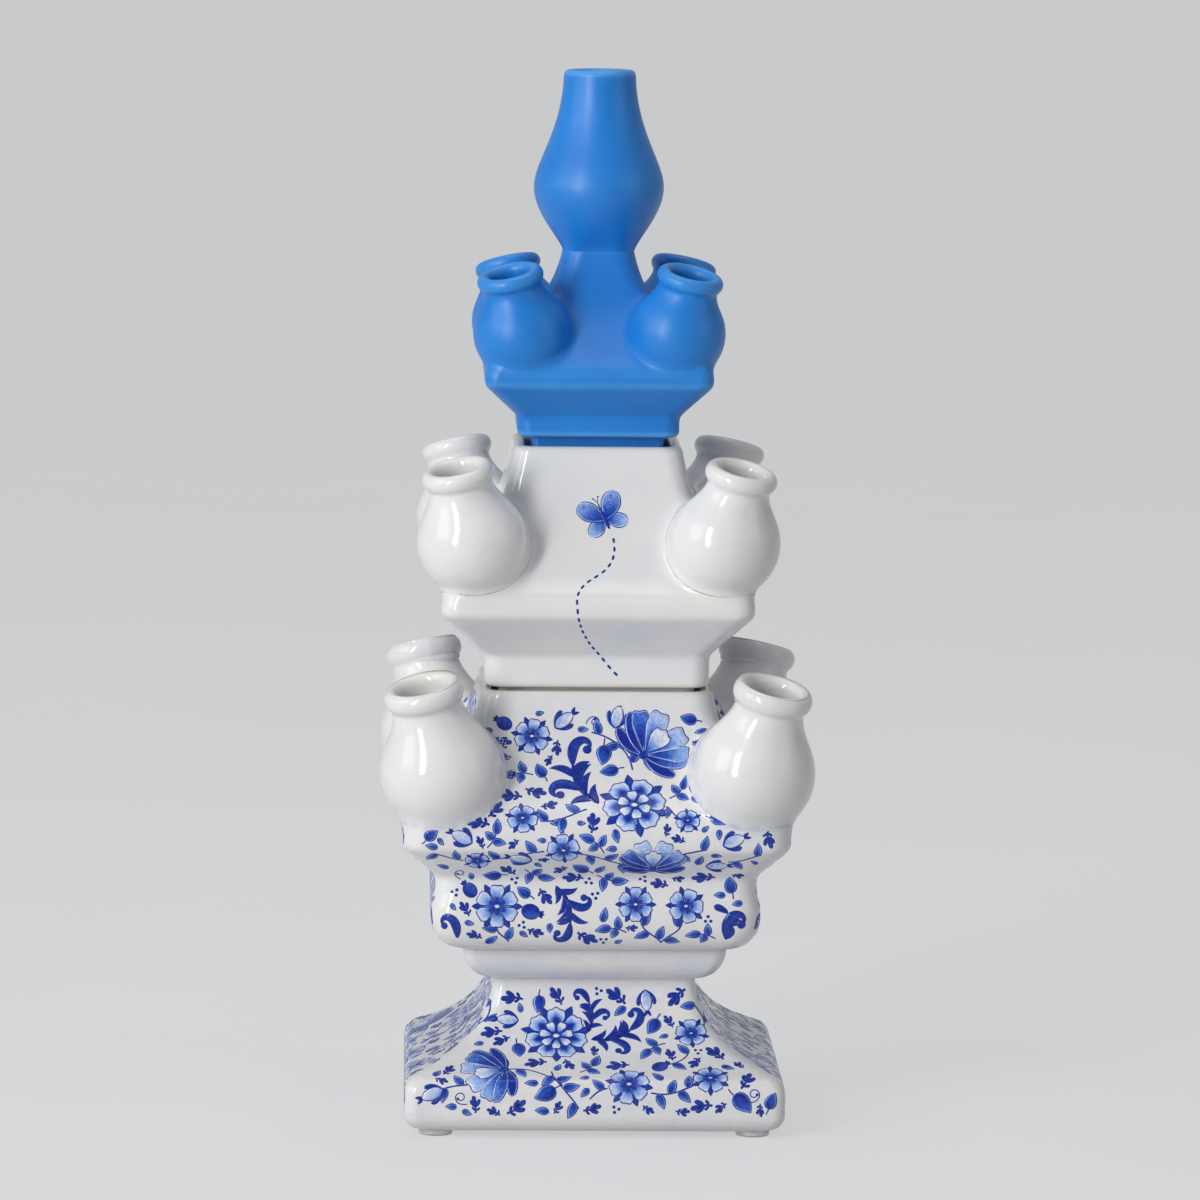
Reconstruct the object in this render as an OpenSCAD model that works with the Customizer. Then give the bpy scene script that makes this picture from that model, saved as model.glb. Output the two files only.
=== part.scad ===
// Stacking tulip vase: three square tiers with flower nozzles at the corners.
// The upper two tiers stand in the one below on a square plug and lift off.
// Millimetres, +Z up, origin on the table under the middle of the foot, front towards -Y.

/* [Foot] */
// Width of the foot slab
slab_w = 140.4; // [130:0.2:150]
// Height of the straight edge of the slab
slab_edge_h = 9.2; // [7:0.2:12]
// Radius under the edge of the slab
slab_under_r = 6.5; // [5:0.1:8]
// Radius over the edge of the slab
slab_over_r = 4.6; // [3:0.1:6]
// Width of the neck above the slab
foot_neck_w = 75.4; // [66:0.2:84]
// Height of the hollow sweep from the slab's edge to the neck
foot_sweep_h = 37; // [32:0.1:42]
// Width of the cushion band on top of the neck
cushion_w = 97.6; // [88:0.2:104]
// Height of the cushion band
cushion_h = 12.7; // [10:0.1:16]
// Wall of the foot
foot_wall = 7; // [5:0.5:9]
// Rounding of the upright corners of the foot
foot_corner = 5; // [3:0.5:8]

/* [Pads] */
// Diameter of a bumper pad
pad_d = 12.6; // [9:0.2:16]
// Height of a bumper pad
pad_h = 2.1; // [1.4:0.1:4]
// Distance from the edge of the slab to the middle of a pad
pad_inset = 11.7; // [10:0.1:16]
// Bevel around the bottom of a pad
pad_bevel = 0.5; // [0.2:0.1:0.8]

/* [Lower tier] */
// Width of the flat sole that stands on the foot
lower_sole_w = 100; // [96:0.2:108]
// Width of the bulged belt
lower_belt_w = 121.8; // [116:0.2:128]
// Height of the widest part of the belt above the sole
lower_belt_h = 14; // [10:0.5:18]
// Width of the waist above the belt
lower_waist_w = 118.8; // [112:0.2:122]
// Width over the flange
lower_flange_w = 142.4; // [136:0.2:150]
// Height of the waist's upper edge above the sole
lower_waist_h = 27.8; // [25:0.1:34]
// Height of the shaft from the flange to the rim
lower_shaft_h = 54; // [48:0.5:64]
// Radius over the edge of the flange
lower_over_r = 15.6; // [10:0.2:18]
// Rounding of the upright corners
lower_corner = 9; // [7:0.5:12]

/* [Middle tier] */
// Width of the plug under the base
middle_plug_w = 72.4; // [66:0.2:76]
// Gap left between the rim below and the base
middle_stand_off = 1; // [0.5:0.1:4]
// Width of the base band
middle_band_w = 83.2; // [80:0.2:90]
// Width over the flange
middle_flange_w = 115.4; // [108:0.2:122]
// Height of the base band
middle_band_h = 11.9; // [8:0.1:16]
// Height of the shaft from the flange to the rim
middle_shaft_h = 59.1; // [52:0.1:68]
// Radius over the edge of the flange
middle_over_r = 8.7; // [6:0.1:11]
// Rounding of the upright corners
middle_corner = 7; // [6:0.5:10]

/* [Top tier] */
// Width of the plug under the base
top_plug_w = 48.4; // [44:0.2:52]
// Gap left between the rim below and the base
top_stand_off = 3.2; // [0.5:0.1:5]
// Width of the base band
top_band_w = 60; // [57:0.2:66]
// Width over the flange
top_flange_w = 84.4; // [78:0.2:92]
// Height of the base band
top_band_h = 7.6; // [7:0.1:12]
// Height of the shaft from the flange to the bulb
top_shaft_h = 46.3; // [40:0.1:54]
// Width of the square end of the shaft
top_shaft_w = 26.4; // [25:0.2:32]
// Radius over the edge of the flange
top_over_r = 7.5; // [5:0.1:9]
// Rounding of the upright corners
top_corner = 5.5; // [4:0.5:7]

/* [Bulb] */
// Setback of the bulb's round waist from the edge of the shaft
bulb_setback = 0.2; // [0:0.1:1]
// Widest diameter of the bulb
bulb_d = 48.4; // [42:0.2:56]
// Height of the widest part above the shaft
bulb_belly_h = 23.5; // [20:0.5:28]
// Diameter of the neck under the mouth
bulb_neck_d = 26.8; // [23:0.2:30]
// Height of the bulb from the shaft to the mouth
bulb_h = 67; // [58:0.1:80]
// Diameter of the open mouth
bulb_mouth_d = 18; // [14:0.2:20]
// Wall of the bulb
bulb_wall = 3.6; // [3:0.1:4.5]

/* [Nozzles] */
// Outward lean of every nozzle in degrees
nozzle_tilt = 17; // [10:1:22]
// Wall of a nozzle
nozzle_wall = 3.4; // [2.8:0.1:4.5]
// Diameter of a lower nozzle's belly
lower_belly_d = 45.4; // [40:0.2:50]
// Length of a lower nozzle from the middle of its belly to its lip
lower_stem = 31.4; // [28:0.1:36]
// Diameter over a lower nozzle's lip
lower_lip_d = 28.8; // [27:0.2:33]
// Diameter of a lower nozzle's neck
lower_neck_d = 24.6; // [23:0.2:27]
// Height of a lower nozzle's lip
lower_lip_h = 7; // [5:0.1:8]
// Diameter of a lower nozzle's mouth
lower_mouth_d = 20; // [17:0.2:21]
// Distance of a lower nozzle's belly inside the edge of the flange
lower_nozzle_inset = 13.7; // [10:0.1:18]
// Height of a lower nozzle's belly above the flange
lower_nozzle_rise = 26.9; // [23:0.1:32]
// Diameter of a middle nozzle's belly
middle_belly_d = 40; // [36:0.2:44]
// Length of a middle nozzle from the middle of its belly to its lip
middle_stem = 26.4; // [24:0.1:30]
// Diameter over a middle nozzle's lip
middle_lip_d = 25.6; // [24:0.2:29]
// Diameter of a middle nozzle's neck
middle_neck_d = 22.2; // [21:0.2:24]
// Height of a middle nozzle's lip
middle_lip_h = 6.4; // [5:0.1:7.4]
// Diameter of a middle nozzle's mouth
middle_mouth_d = 17.4; // [14:0.2:18.4]
// Distance of a middle nozzle's belly inside the edge of the flange
middle_nozzle_inset = 11.2; // [8:0.1:15]
// Height of a middle nozzle's belly above the flange
middle_nozzle_rise = 27.6; // [24:0.1:32]
// Diameter of a top nozzle's belly
top_belly_d = 35.8; // [32:0.2:39]
// Length of a top nozzle from the middle of its belly to its lip
top_stem = 20.6; // [18.8:0.1:24]
// Diameter over a top nozzle's lip
top_lip_d = 23.6; // [22:0.2:27]
// Diameter of a top nozzle's neck
top_neck_d = 20.8; // [19:0.2:22.4]
// Height of a top nozzle's lip
top_lip_h = 5.6; // [4.6:0.1:6.6]
// Diameter of a top nozzle's mouth
top_mouth_d = 15.6; // [13:0.2:16.4]
// Distance of a top nozzle's belly inside the edge of the flange
top_nozzle_inset = 14.3; // [11:0.1:18]
// Height of a top nozzle's belly above the flange
top_nozzle_rise = 20.4; // [17:0.1:25]
// Diameter of the water port from a tier into each nozzle
port_d = 12; // [8:0.5:14]

/* [Walls and seats] */
// Wall of the tiers
wall = 5; // [4:0.1:6]
// Thickness of the rounded rims
rim_t = 4.8; // [4:0.1:6]
// Thickness of the floors
floor_t = 5; // [4:0.1:8]
// Depth of a plug below the rim that it stands in
plug_depth = 9; // [6:0.5:12]
// Gap on each side of a plug
plug_clearance = 2.4; // [0.6:0.1:3]
// Bevel around the end of a plug
plug_bevel = 1; // [0.5:0.1:1.6]
// Width of the seat that a plug stands on
seat_w = 4; // [3:0.1:6]
// Thickness of that seat
seat_t = 4; // [3:0.1:6]
// Radius under the edge of every flange
flange_under_r = 3.6; // [2.5:0.1:4.4]
// Straight height of every flange's edge
flange_edge_h = 1.2; // [0.6:0.1:3]
// Rounding where a flange's underside meets the band or waist below it
cove_r = 4; // [2:0.1:5]
// Rounding around the bottom of a base
base_r = 2; // [1:0.1:3]
// Lean of the shafts under the rim in degrees
rim_lean = 11; // [6:1:15]

/* [Hidden] */
white_glaze = [0.94, 0.94, 0.93];
printed_glaze = [0.80, 0.84, 0.93];
blue_glaze = [0.12, 0.45, 0.82];
clear_rubber = [0.88, 0.89, 0.88];

corner_steps = 5;
curve_steps = 8;
edge_steps = 4;
flange_slope = 45;
flare_pull = 0.36;
rim_pull = 0.5;
sweep_out_pull = 0.73;
sweep_up_pull = 0.39;
bulb_waist_pull = 0.2;
bulb_waist_flare = 1.2;
bulb_under_pull = 0.45;
bulb_over_pull = 0.22;
bulb_neck_pull = 0.5;
bulb_neck_flare = 0.5;
lip_turn = 60;
shoulder_turn = 38;

// Heights of the stack, each standing on the one before
foot_z = pad_h;
slab_top_z = foot_z + slab_under_r + slab_edge_h;
neck_z = slab_top_z + foot_sweep_h;
sole_z = neck_z + cushion_h;
lower_flange_z = sole_z + lower_waist_h + flange_rise(lower_flange_w, lower_waist_w);
lower_rim_z = lower_flange_z + lower_shaft_h;
middle_z = lower_rim_z + middle_stand_off;
middle_flange_z = middle_z + middle_band_h + flange_rise(middle_flange_w, middle_band_w);
middle_rim_z = middle_flange_z + middle_shaft_h;
top_z = middle_rim_z + top_stand_off;
top_flange_z = top_z + top_band_h + flange_rise(top_flange_w, top_band_w);
bulb_z = top_flange_z + top_shaft_h;

// A plug's end meets the seat below it
middle_seat_z = lower_rim_z - plug_depth;
top_seat_z = middle_rim_z - plug_depth;

// Points of an arc round a centre, as half width and height
function arc(cw, cz, r, from, to, n) = [
    for (i = [0:n])
        let (a = from + (to - from) * i / n)
        [cw + r * cos(a), cz + r * sin(a)]
];

// Points of a smooth curve from p to e, pulled towards q and s, without its first point
function curve(p, q, s, e, n) = [
    for (i = [1:n])
        let (t = i / n, u = 1 - t)
        u * u * u * p + 3 * u * u * t * q + 3 * u * t * t * s + t * t * t * e
];

function reversed(list) = [for (i = [len(list) - 1 : -1 : 0]) list[i]];

// Adds the corner rounding to each point of an outline
function cornered(outline, r) = [for (p = outline) [p[0], p[1], r]];

// Points of a square ring with rounded corners
function ring(half, z, r) = [
    for (q = [0:3], i = [0:corner_steps])
        let (a = 90 * (q + i / corner_steps), side = half - r)
        [sign(cos(45 + 90 * q)) * side + r * cos(a), sign(sin(45 + 90 * q)) * side + r * sin(a), z]
];

// Solid through the rings of an outline, closed at its first and last ring
module lofted(outline) {
    n = 4 * (corner_steps + 1);
    last = len(outline) - 1;
    points = [for (p = outline, v = ring(p[0], p[1], p[2])) v];
    sides = [
        for (k = [0 : last - 1], i = [0 : n - 1])
            let (j = (i + 1) % n)
            [k * n + i, k * n + n + i, k * n + n + j, k * n + j]
    ];
    first_cap = [for (i = [0 : n - 1]) i];
    last_cap = [for (i = [n - 1 : -1 : 0]) last * n + i];
    polyhedron(points, concat(sides, [first_cap, last_cap]), convexity = 8);
}

// Rise of a flange over the band or waist that its underside slopes up from
function flange_rise(flange_w, band_w) =
    ((flange_w - band_w) / 2 - flange_under_r * (1 - cos(flange_slope))) * tan(flange_slope)
    + flange_under_r * sin(flange_slope);

// Start of the slope under a flange
function slope_start(flange, z) = [
    flange - flange_under_r * (1 - cos(flange_slope)),
    z - flange_under_r * sin(flange_slope)
];

// Height of the slope under a flange at a half width
function slope_z(flange, z, w) = let (s = slope_start(flange, z)) s[1] - (s[0] - w) * tan(flange_slope);

// Cove from an upright band of half width w into the slope under a flange
function cove(flange, z, w) = let (
        corner = [w, slope_z(flange, z, w)],
        low = corner - [0, cove_r],
        high = corner + cove_r * [cos(flange_slope), sin(flange_slope)]
    ) concat([low], curve(low, corner, corner, high, edge_steps));

// Edge of a flange, from the slope under it to the start of the flare over it
function flange_edge(flange, z, over_r) = concat(
    arc(flange - flange_under_r, z, flange_under_r, -flange_slope, 0, edge_steps),
    arc(flange - over_r, z + flange_edge_h, over_r, 0, flange_slope, edge_steps)
);

// Concave flare from the flange's edge up to the top point of a shaft
function flare(flange, z, over_r, top, lean) = let (
        low = [flange - over_r * (1 - cos(flange_slope)), z + flange_edge_h + over_r * sin(flange_slope)],
        rise = top[1] - low[1],
        out = low + flare_pull * rise * [-sin(flange_slope), cos(flange_slope)],
        under = top + rim_pull * rise * [sin(lean), -cos(lean)]
    ) curve(low, out, under, top, curve_steps);

// Half width of an opening that takes a plug
function opening(plug_w) = plug_w / 2 + plug_clearance;

// Outer point of a shaft just under its rounded rim
function rim_point(plug_w, rim_z) = [opening(plug_w) + rim_t, rim_z - rim_t / 2];

// Rounded top of a rim, outer half and inner half
function rim_outer(plug_w, rim_z) =
    arc(opening(plug_w) + rim_t / 2, rim_z - rim_t / 2, rim_t / 2, 90 / edge_steps, 90, edge_steps - 1);
function rim_inner(plug_w, rim_z) =
    arc(opening(plug_w) + rim_t / 2, rim_z - rim_t / 2, rim_t / 2, 90 + 90 / edge_steps, 180, edge_steps - 1);

// Inside of an opening with the seat for a plug, going down
function seat(plug_w, rim_z) = let (w = opening(plug_w), inner = plug_w / 2 - seat_w, z = rim_z - plug_depth)
    [[w, z], [inner, z], [inner, z - seat_t]];

// Inner wall going down behind a flare, from the seat's slanted underside to the slope over a band
function inner_shaft(shaft, flange, z, over_r, band, under) = let (
        pocket = flange - wall - over_r * (1 - cos(flange_slope)),
        lift = wall / cos(flange_slope)
    ) concat(
        [for (p = reversed(shaft)) if (p[1] < under[1] - (p[0] - wall - under[0])) p - [wall, 0]],
        [for (w = [pocket, band - wall]) [w, slope_z(flange, z, w) + lift]]
    );

// Outer shafts of the tiers, from the flange's edge to the point under the rim
function lower_shaft() = flare(
    lower_flange_w / 2, lower_flange_z, lower_over_r, rim_point(middle_plug_w, lower_rim_z), rim_lean);
function middle_shaft() = flare(
    middle_flange_w / 2, middle_flange_z, middle_over_r, rim_point(top_plug_w, middle_rim_z), rim_lean);
function top_shaft() = flare(
    top_flange_w / 2, top_flange_z, top_over_r, [top_shaft_w / 2, bulb_z], rim_lean);

// Solid that trims a nozzle to the outside of its tier
module shaft_core(flange, z, over_r, shaft, corner)
    lofted(cornered(concat(flange_edge(flange, z, over_r), shaft), corner));

// Plug under the base of an upper tier, going up
function plug(plug_w, seat_z, base_z) = let (w = plug_w / 2)
    [[w - plug_bevel, seat_z], [w, seat_z + plug_bevel], [w, base_z]];

// Rounded edge of that base, going up
function base_edge(band_w, base_z) = arc(band_w / 2 - base_r, base_z + base_r, base_r, -90, 0, edge_steps);

// Inside of the base and its plug, going down to the floor
function plugged_floor(plug_w, seat_z, base_z, band_w) = [
    [band_w / 2 - wall, base_z + floor_t],
    [plug_w / 2 - wall, base_z + floor_t],
    [plug_w / 2 - wall, seat_z + floor_t]
];

// Place on the corner of a tier, with +X of the piece pointing outwards
module at_corner(reach, z, side, face)
    translate([side * reach, face * reach, z])
        rotate([0, 0, atan2(face, side)])
            children();

module on_corners(reach, z)
    for (side = [-1, 1], face = [-1, 1])
        at_corner(reach, z, side, face)
            children();

// Water port that runs from the middle of a nozzle into its tier
module port(reach)
    rotate([0, -90, 0])
        cylinder(h = reach * sqrt(2), d = port_d, $fn = 48);

// Pot with a round belly, a short neck and a rolled lip, standing on the middle of its belly
module pot(belly_d, stem, neck_d, lip_d, lip_h, mouth_d) {
    belly = belly_d / 2;
    inside = belly - nozzle_wall;
    lip_half = [(lip_d - mouth_d) / 4, lip_h / 2];
    lip_mid = [(lip_d + mouth_d) / 4, stem - lip_h / 2];
    neck = [neck_d / 2, stem - lip_h];
    shoulder = belly * [cos(shoulder_turn), sin(shoulder_turn)];
    swell = norm(neck - shoulder) / 3;
    tangent = [-sin(shoulder_turn), cos(shoulder_turn)];
    throat = [mouth_d / 2, stem - lip_h];
    entry = inside * [cos(shoulder_turn), sin(shoulder_turn)];
    outline = concat(
        arc(0, 0, belly, -90, shoulder_turn, 2 * curve_steps),
        curve(shoulder, shoulder + swell * tangent, neck - [0, swell], neck, edge_steps),
        [for (i = [0 : curve_steps])
            let (a = -lip_turn + (180 + lip_turn) * i / curve_steps)
            lip_mid + [lip_half[0] * cos(a), lip_half[1] * sin(a)]],
        [throat],
        curve(throat, throat - [0, swell], entry + swell * tangent, entry, edge_steps),
        arc(0, 0, inside, shoulder_turn - shoulder_turn / curve_steps, -90, 2 * curve_steps)
    );
    rotate_extrude($fn = 96)
        polygon(outline);
}

module lower_foot() {
    edge = slab_w / 2;
    ring_in = edge - pad_inset - pad_d / 2 - foot_wall / 2;
    neck = foot_neck_w / 2;
    cap = cushion_w / 2;
    turn = 90 - 90 / edge_steps;
    over = arc(edge - slab_over_r, slab_top_z, slab_over_r, 0, turn, edge_steps);
    end = over[edge_steps];
    sweep = curve(
        end,
        end + sweep_out_pull * (end[0] - neck) * [-sin(turn), cos(turn)],
        [neck, neck_z - sweep_up_pull * foot_sweep_h],
        [neck, neck_z],
        curve_steps);
    cushion = [
        for (i = [1 : curve_steps])
            let (a = 90 * i / curve_steps)
            [neck + (cap - neck) * sin(a), sole_z - cushion_h * cos(a)]
    ];
    hollow = concat(
        [[neck - foot_wall, sole_z - floor_t], [neck - foot_wall, neck_z]],
        [for (p = reversed(sweep)) if (p[0] - foot_wall < ring_in && p[1] < neck_z) p - [foot_wall, 0]],
        [[ring_in, foot_z]]
    );
    outer = concat(
        arc(edge - slab_under_r, foot_z + slab_under_r, slab_under_r, -90, 0, edge_steps),
        over, sweep, cushion);
    color(printed_glaze)
        lofted(concat(cornered(hollow, foot_corner), cornered(outer, foot_corner)));
}

module lower_body() {
    flange = lower_flange_w / 2;
    waist = lower_waist_w / 2;
    belt = [lower_belt_w / 2, sole_z + lower_belt_h];
    sole = [lower_sole_w / 2, sole_z];
    coved = cove(flange, lower_flange_z, waist);
    half_way = (belt[1] + coved[0][1]) / 2;
    shaft = lower_shaft();
    seated = seat(middle_plug_w, lower_rim_z);
    outer = concat(
        [sole],
        curve(sole, [(sole[0] + 2 * belt[0]) / 3, sole_z], belt - [0, lower_belt_h / 2], belt, curve_steps),
        curve(belt, [belt[0], half_way], [waist, half_way], coved[0], edge_steps),
        [for (i = [1 : edge_steps]) coved[i]],
        flange_edge(flange, lower_flange_z, lower_over_r), shaft,
        rim_outer(middle_plug_w, lower_rim_z));
    inner = concat(
        rim_inner(middle_plug_w, lower_rim_z), seated,
        inner_shaft(shaft, flange, lower_flange_z, lower_over_r, waist, seated[2]),
        [[waist - wall, belt[1]], [sole[0] - wall, sole_z + floor_t]]);
    color(printed_glaze)
        difference() {
            lofted(concat(cornered(outer, lower_corner), cornered(inner, lower_corner - rim_t)));
            on_corners(flange - lower_nozzle_inset, lower_flange_z + lower_nozzle_rise)
                port(flange - lower_nozzle_inset);
        }
}

module middle_body() {
    flange = middle_flange_w / 2;
    shaft = middle_shaft();
    seated = seat(top_plug_w, middle_rim_z);
    outer = concat(
        base_edge(middle_band_w, middle_z),
        cove(flange, middle_flange_z, middle_band_w / 2),
        flange_edge(flange, middle_flange_z, middle_over_r), shaft,
        rim_outer(top_plug_w, middle_rim_z));
    inner = concat(
        rim_inner(top_plug_w, middle_rim_z), seated,
        inner_shaft(shaft, flange, middle_flange_z, middle_over_r, middle_band_w / 2, seated[2]),
        plugged_floor(middle_plug_w, middle_seat_z, middle_z, middle_band_w));
    color(white_glaze)
        difference() {
            lofted(concat(
                cornered(plug(middle_plug_w, middle_seat_z, middle_z), lower_corner - rim_t),
                cornered(outer, middle_corner),
                cornered(inner, middle_corner - rim_t)));
            on_corners(flange - middle_nozzle_inset, middle_flange_z + middle_nozzle_rise)
                port(flange - middle_nozzle_inset);
        }
}

module top_body() {
    flange = top_flange_w / 2;
    shaft = top_shaft();
    outer = concat(
        base_edge(top_band_w, top_z),
        cove(flange, top_flange_z, top_band_w / 2),
        flange_edge(flange, top_flange_z, top_over_r), shaft);
    inner = concat(
        inner_shaft(shaft, flange, top_flange_z, top_over_r, top_band_w / 2, [top_shaft_w / 2, bulb_z]),
        plugged_floor(top_plug_w, top_seat_z, top_z, top_band_w));
    color(blue_glaze)
        difference() {
            lofted(concat(
                cornered(plug(top_plug_w, top_seat_z, top_z), middle_corner - rim_t),
                cornered(outer, top_corner),
                cornered(inner, top_corner - wall / 2)));
            on_corners(flange - top_nozzle_inset, top_flange_z + top_nozzle_rise)
                port(flange - top_nozzle_inset);
        }
}

module lower_nozzle(side, face) {
    flange = lower_flange_w / 2;
    color(white_glaze)
        difference() {
            at_corner(flange - lower_nozzle_inset, lower_flange_z + lower_nozzle_rise, side, face)
                rotate([0, nozzle_tilt, 0])
                    pot(lower_belly_d, lower_stem, lower_neck_d, lower_lip_d, lower_lip_h, lower_mouth_d);
            shaft_core(flange, lower_flange_z, lower_over_r, lower_shaft(), lower_corner);
        }
}

module middle_nozzle(side, face) {
    flange = middle_flange_w / 2;
    color(white_glaze)
        difference() {
            at_corner(flange - middle_nozzle_inset, middle_flange_z + middle_nozzle_rise, side, face)
                rotate([0, nozzle_tilt, 0])
                    pot(middle_belly_d, middle_stem, middle_neck_d,
                        middle_lip_d, middle_lip_h, middle_mouth_d);
            shaft_core(flange, middle_flange_z, middle_over_r, middle_shaft(), middle_corner);
        }
}

module top_nozzle(side, face) {
    flange = top_flange_w / 2;
    color(blue_glaze)
        difference() {
            at_corner(flange - top_nozzle_inset, top_flange_z + top_nozzle_rise, side, face)
                rotate([0, nozzle_tilt, 0])
                    pot(top_belly_d, top_stem, top_neck_d, top_lip_d, top_lip_h, top_mouth_d);
            shaft_core(flange, top_flange_z, top_over_r, top_shaft(), top_corner);
        }
}

// Gourd shaped spout with an open mouth on top and an open end on the shaft
module top_bulb() {
    waist = [top_shaft_w / 2 - bulb_setback, 0];
    belly = [bulb_d / 2, bulb_belly_h];
    inside = belly - [bulb_wall, 0];
    end = [top_shaft_w / 2 - wall, 0];
    rim_r = (bulb_neck_d - bulb_mouth_d) / 4;
    neck = [bulb_neck_d / 2, bulb_h - rim_r];
    mouth = [bulb_mouth_d / 2, bulb_h - rim_r];
    upper = neck[1] - bulb_belly_h;
    under = [0, bulb_under_pull * bulb_belly_h];
    over = [0, bulb_over_pull * upper];
    drop = [bulb_neck_flare, -bulb_neck_pull * upper];
    spread = [bulb_waist_flare, bulb_waist_pull * bulb_belly_h];
    shell = concat(
        [waist],
        curve(waist, waist + spread, belly - under, belly, curve_steps),
        curve(belly, belly + over, neck + drop, neck, curve_steps),
        arc((neck[0] + mouth[0]) / 2, neck[1], rim_r, 180 / curve_steps, 180, curve_steps - 1));
    hollow = concat(
        curve(mouth, mouth + drop, inside + over, inside, curve_steps),
        curve(inside, inside - under, end + spread, end, curve_steps));
    color(blue_glaze)
        translate([0, 0, bulb_z])
            rotate_extrude($fn = 96)
                polygon(concat(shell, hollow));
}

// Clear bumper stuck under the foot
module pad(side, face) {
    reach = slab_w / 2 - pad_inset;
    r = pad_d / 2;
    color(clear_rubber)
        translate([side * reach, face * reach, 0])
            rotate_extrude($fn = 48)
                polygon([[0, 0], [r - pad_bevel, 0], [r, pad_bevel], [r, pad_h], [0, pad_h]]);
}

lower_foot();
lower_body();
lower_nozzle(-1, -1);  // lower_nozzle_front_left
lower_nozzle(1, -1);  // lower_nozzle_front_right
lower_nozzle(-1, 1);  // lower_nozzle_back_left
lower_nozzle(1, 1);  // lower_nozzle_back_right
middle_body();
middle_nozzle(-1, -1);  // middle_nozzle_front_left
middle_nozzle(1, -1);  // middle_nozzle_front_right
middle_nozzle(-1, 1);  // middle_nozzle_back_left
middle_nozzle(1, 1);  // middle_nozzle_back_right
top_body();
top_nozzle(-1, -1);  // top_nozzle_front_left
top_nozzle(1, -1);  // top_nozzle_front_right
top_nozzle(-1, 1);  // top_nozzle_back_left
top_nozzle(1, 1);  // top_nozzle_back_right
top_bulb();
pad(-1, -1);  // pad_front_left
pad(1, -1);  // pad_front_right
pad(-1, 1);  // pad_back_left
pad(1, 1);  // pad_back_right
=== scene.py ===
import math
import bpy
import numpy as np
from mathutils import Matrix, Vector


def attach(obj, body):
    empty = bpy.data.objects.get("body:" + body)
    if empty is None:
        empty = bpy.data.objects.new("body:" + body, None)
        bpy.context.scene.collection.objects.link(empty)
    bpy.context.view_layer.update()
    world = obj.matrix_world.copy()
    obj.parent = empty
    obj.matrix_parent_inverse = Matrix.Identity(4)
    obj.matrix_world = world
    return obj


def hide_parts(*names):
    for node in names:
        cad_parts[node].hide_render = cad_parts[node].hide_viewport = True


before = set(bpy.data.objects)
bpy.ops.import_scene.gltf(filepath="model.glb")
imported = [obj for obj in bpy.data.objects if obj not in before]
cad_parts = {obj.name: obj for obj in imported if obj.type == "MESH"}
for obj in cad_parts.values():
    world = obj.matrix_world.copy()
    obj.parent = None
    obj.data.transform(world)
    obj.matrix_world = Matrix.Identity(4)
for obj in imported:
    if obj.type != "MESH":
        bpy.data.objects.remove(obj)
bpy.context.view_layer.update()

mm = 0.001  # all shapes are worked out in millimetres
corners = {"front_left": (-1, -1), "front_right": (1, -1), "back_left": (-1, 1), "back_right": (1, 1)}
nearly = 0.01  # least length that is divided by

# Camera where the photograph was taken from: place in millimetres, turns in degrees
shot = {
    "place": (-72.4, -2785.0, 508.2), "heading": 1.528, "pitch": -6.48, "roll": 0.55, "lens": 224.8,
    "sensor": 36, "clip": (0.1, 100)}


# Looking direction from heading and pitch, then the upright is turned by the roll
def aimCamera(d):
    h, p, r = (math.radians(d[k]) for k in ("heading", "pitch", "roll"))
    ahead = Vector((math.sin(h) * math.cos(p), math.cos(h) * math.cos(p), math.sin(p)))
    right = ahead.cross(Vector((0, 0, 1))).normalized()
    upright = right.cross(ahead) * math.cos(r) - right * math.sin(r)
    turn = Matrix((ahead.cross(upright), upright, -ahead)).transposed()
    cam = bpy.data.objects.new("photoCamera", bpy.data.cameras.new("photoCamera"))
    cam.matrix_world = Matrix.Translation(Vector(d["place"]) * mm) @ turn.to_4x4()
    cam.data.lens, cam.data.sensor_width = d["lens"], d["sensor"]
    cam.data.clip_start, cam.data.clip_end = d["clip"]
    bpy.context.scene.collection.objects.link(cam)
    bpy.context.scene.camera = cam


aimCamera(shot)
print("camera set")


# Unit direction of an angle in degrees: cosine and sine
def toward(angle):
    a = math.radians(angle)
    return np.array([math.cos(a), math.sin(a)])


# Turn about the upright axis with a given cosine and sine
def spinOf(c, s):
    return np.array([[c, -s, 0], [s, c, 0], [0, 0, 1]])


# Smooth step from 0 to 1 between two values: 3 t^2 - 2 t^3
def ease(low, high, x):
    t = np.clip((x - low) / (high - low), 0, 1)
    return t * t * (3 - 2 * t)


# Cubic curve without its first point: p (1-t)^3 + 3 q t (1-t)^2 + 3 s t^2 (1-t) + e t^3
def bend(p, q, s, e, n=24):
    p, q, s, e = (np.asarray(v, float) for v in (p, q, s, e))
    t = np.linspace(0, 1, n + 1)[1:, None]
    return p * (1 - t) ** 3 + 3 * q * t * (1 - t) ** 2 + 3 * s * t * t * (1 - t) + e * t ** 3


# Arc in the profile plane: centre plus radius times cosine and sine
def sweep(cw, cz, r, start, stop, n=16):
    a = np.radians(np.linspace(start, stop, n + 1))
    return np.column_stack([cw + r * np.cos(a), cz + r * np.sin(a)])


# Length along a line up to each of its points: running sum of the steps
def runOf(p):
    return np.r_[0, np.cumsum(np.hypot(np.diff(p[:, 0]), np.diff(p[:, 1])))]


# Points of a line at given lengths along it, column by column
def pointsAt(want, run, p):
    return np.column_stack([np.interp(want, run, column) for column in p.T])


softening = {"step": 0.1, "bellReach": 4, "turnPerRow": 7.0, "turnedTurn": 6.0}  # turns in degrees


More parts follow.
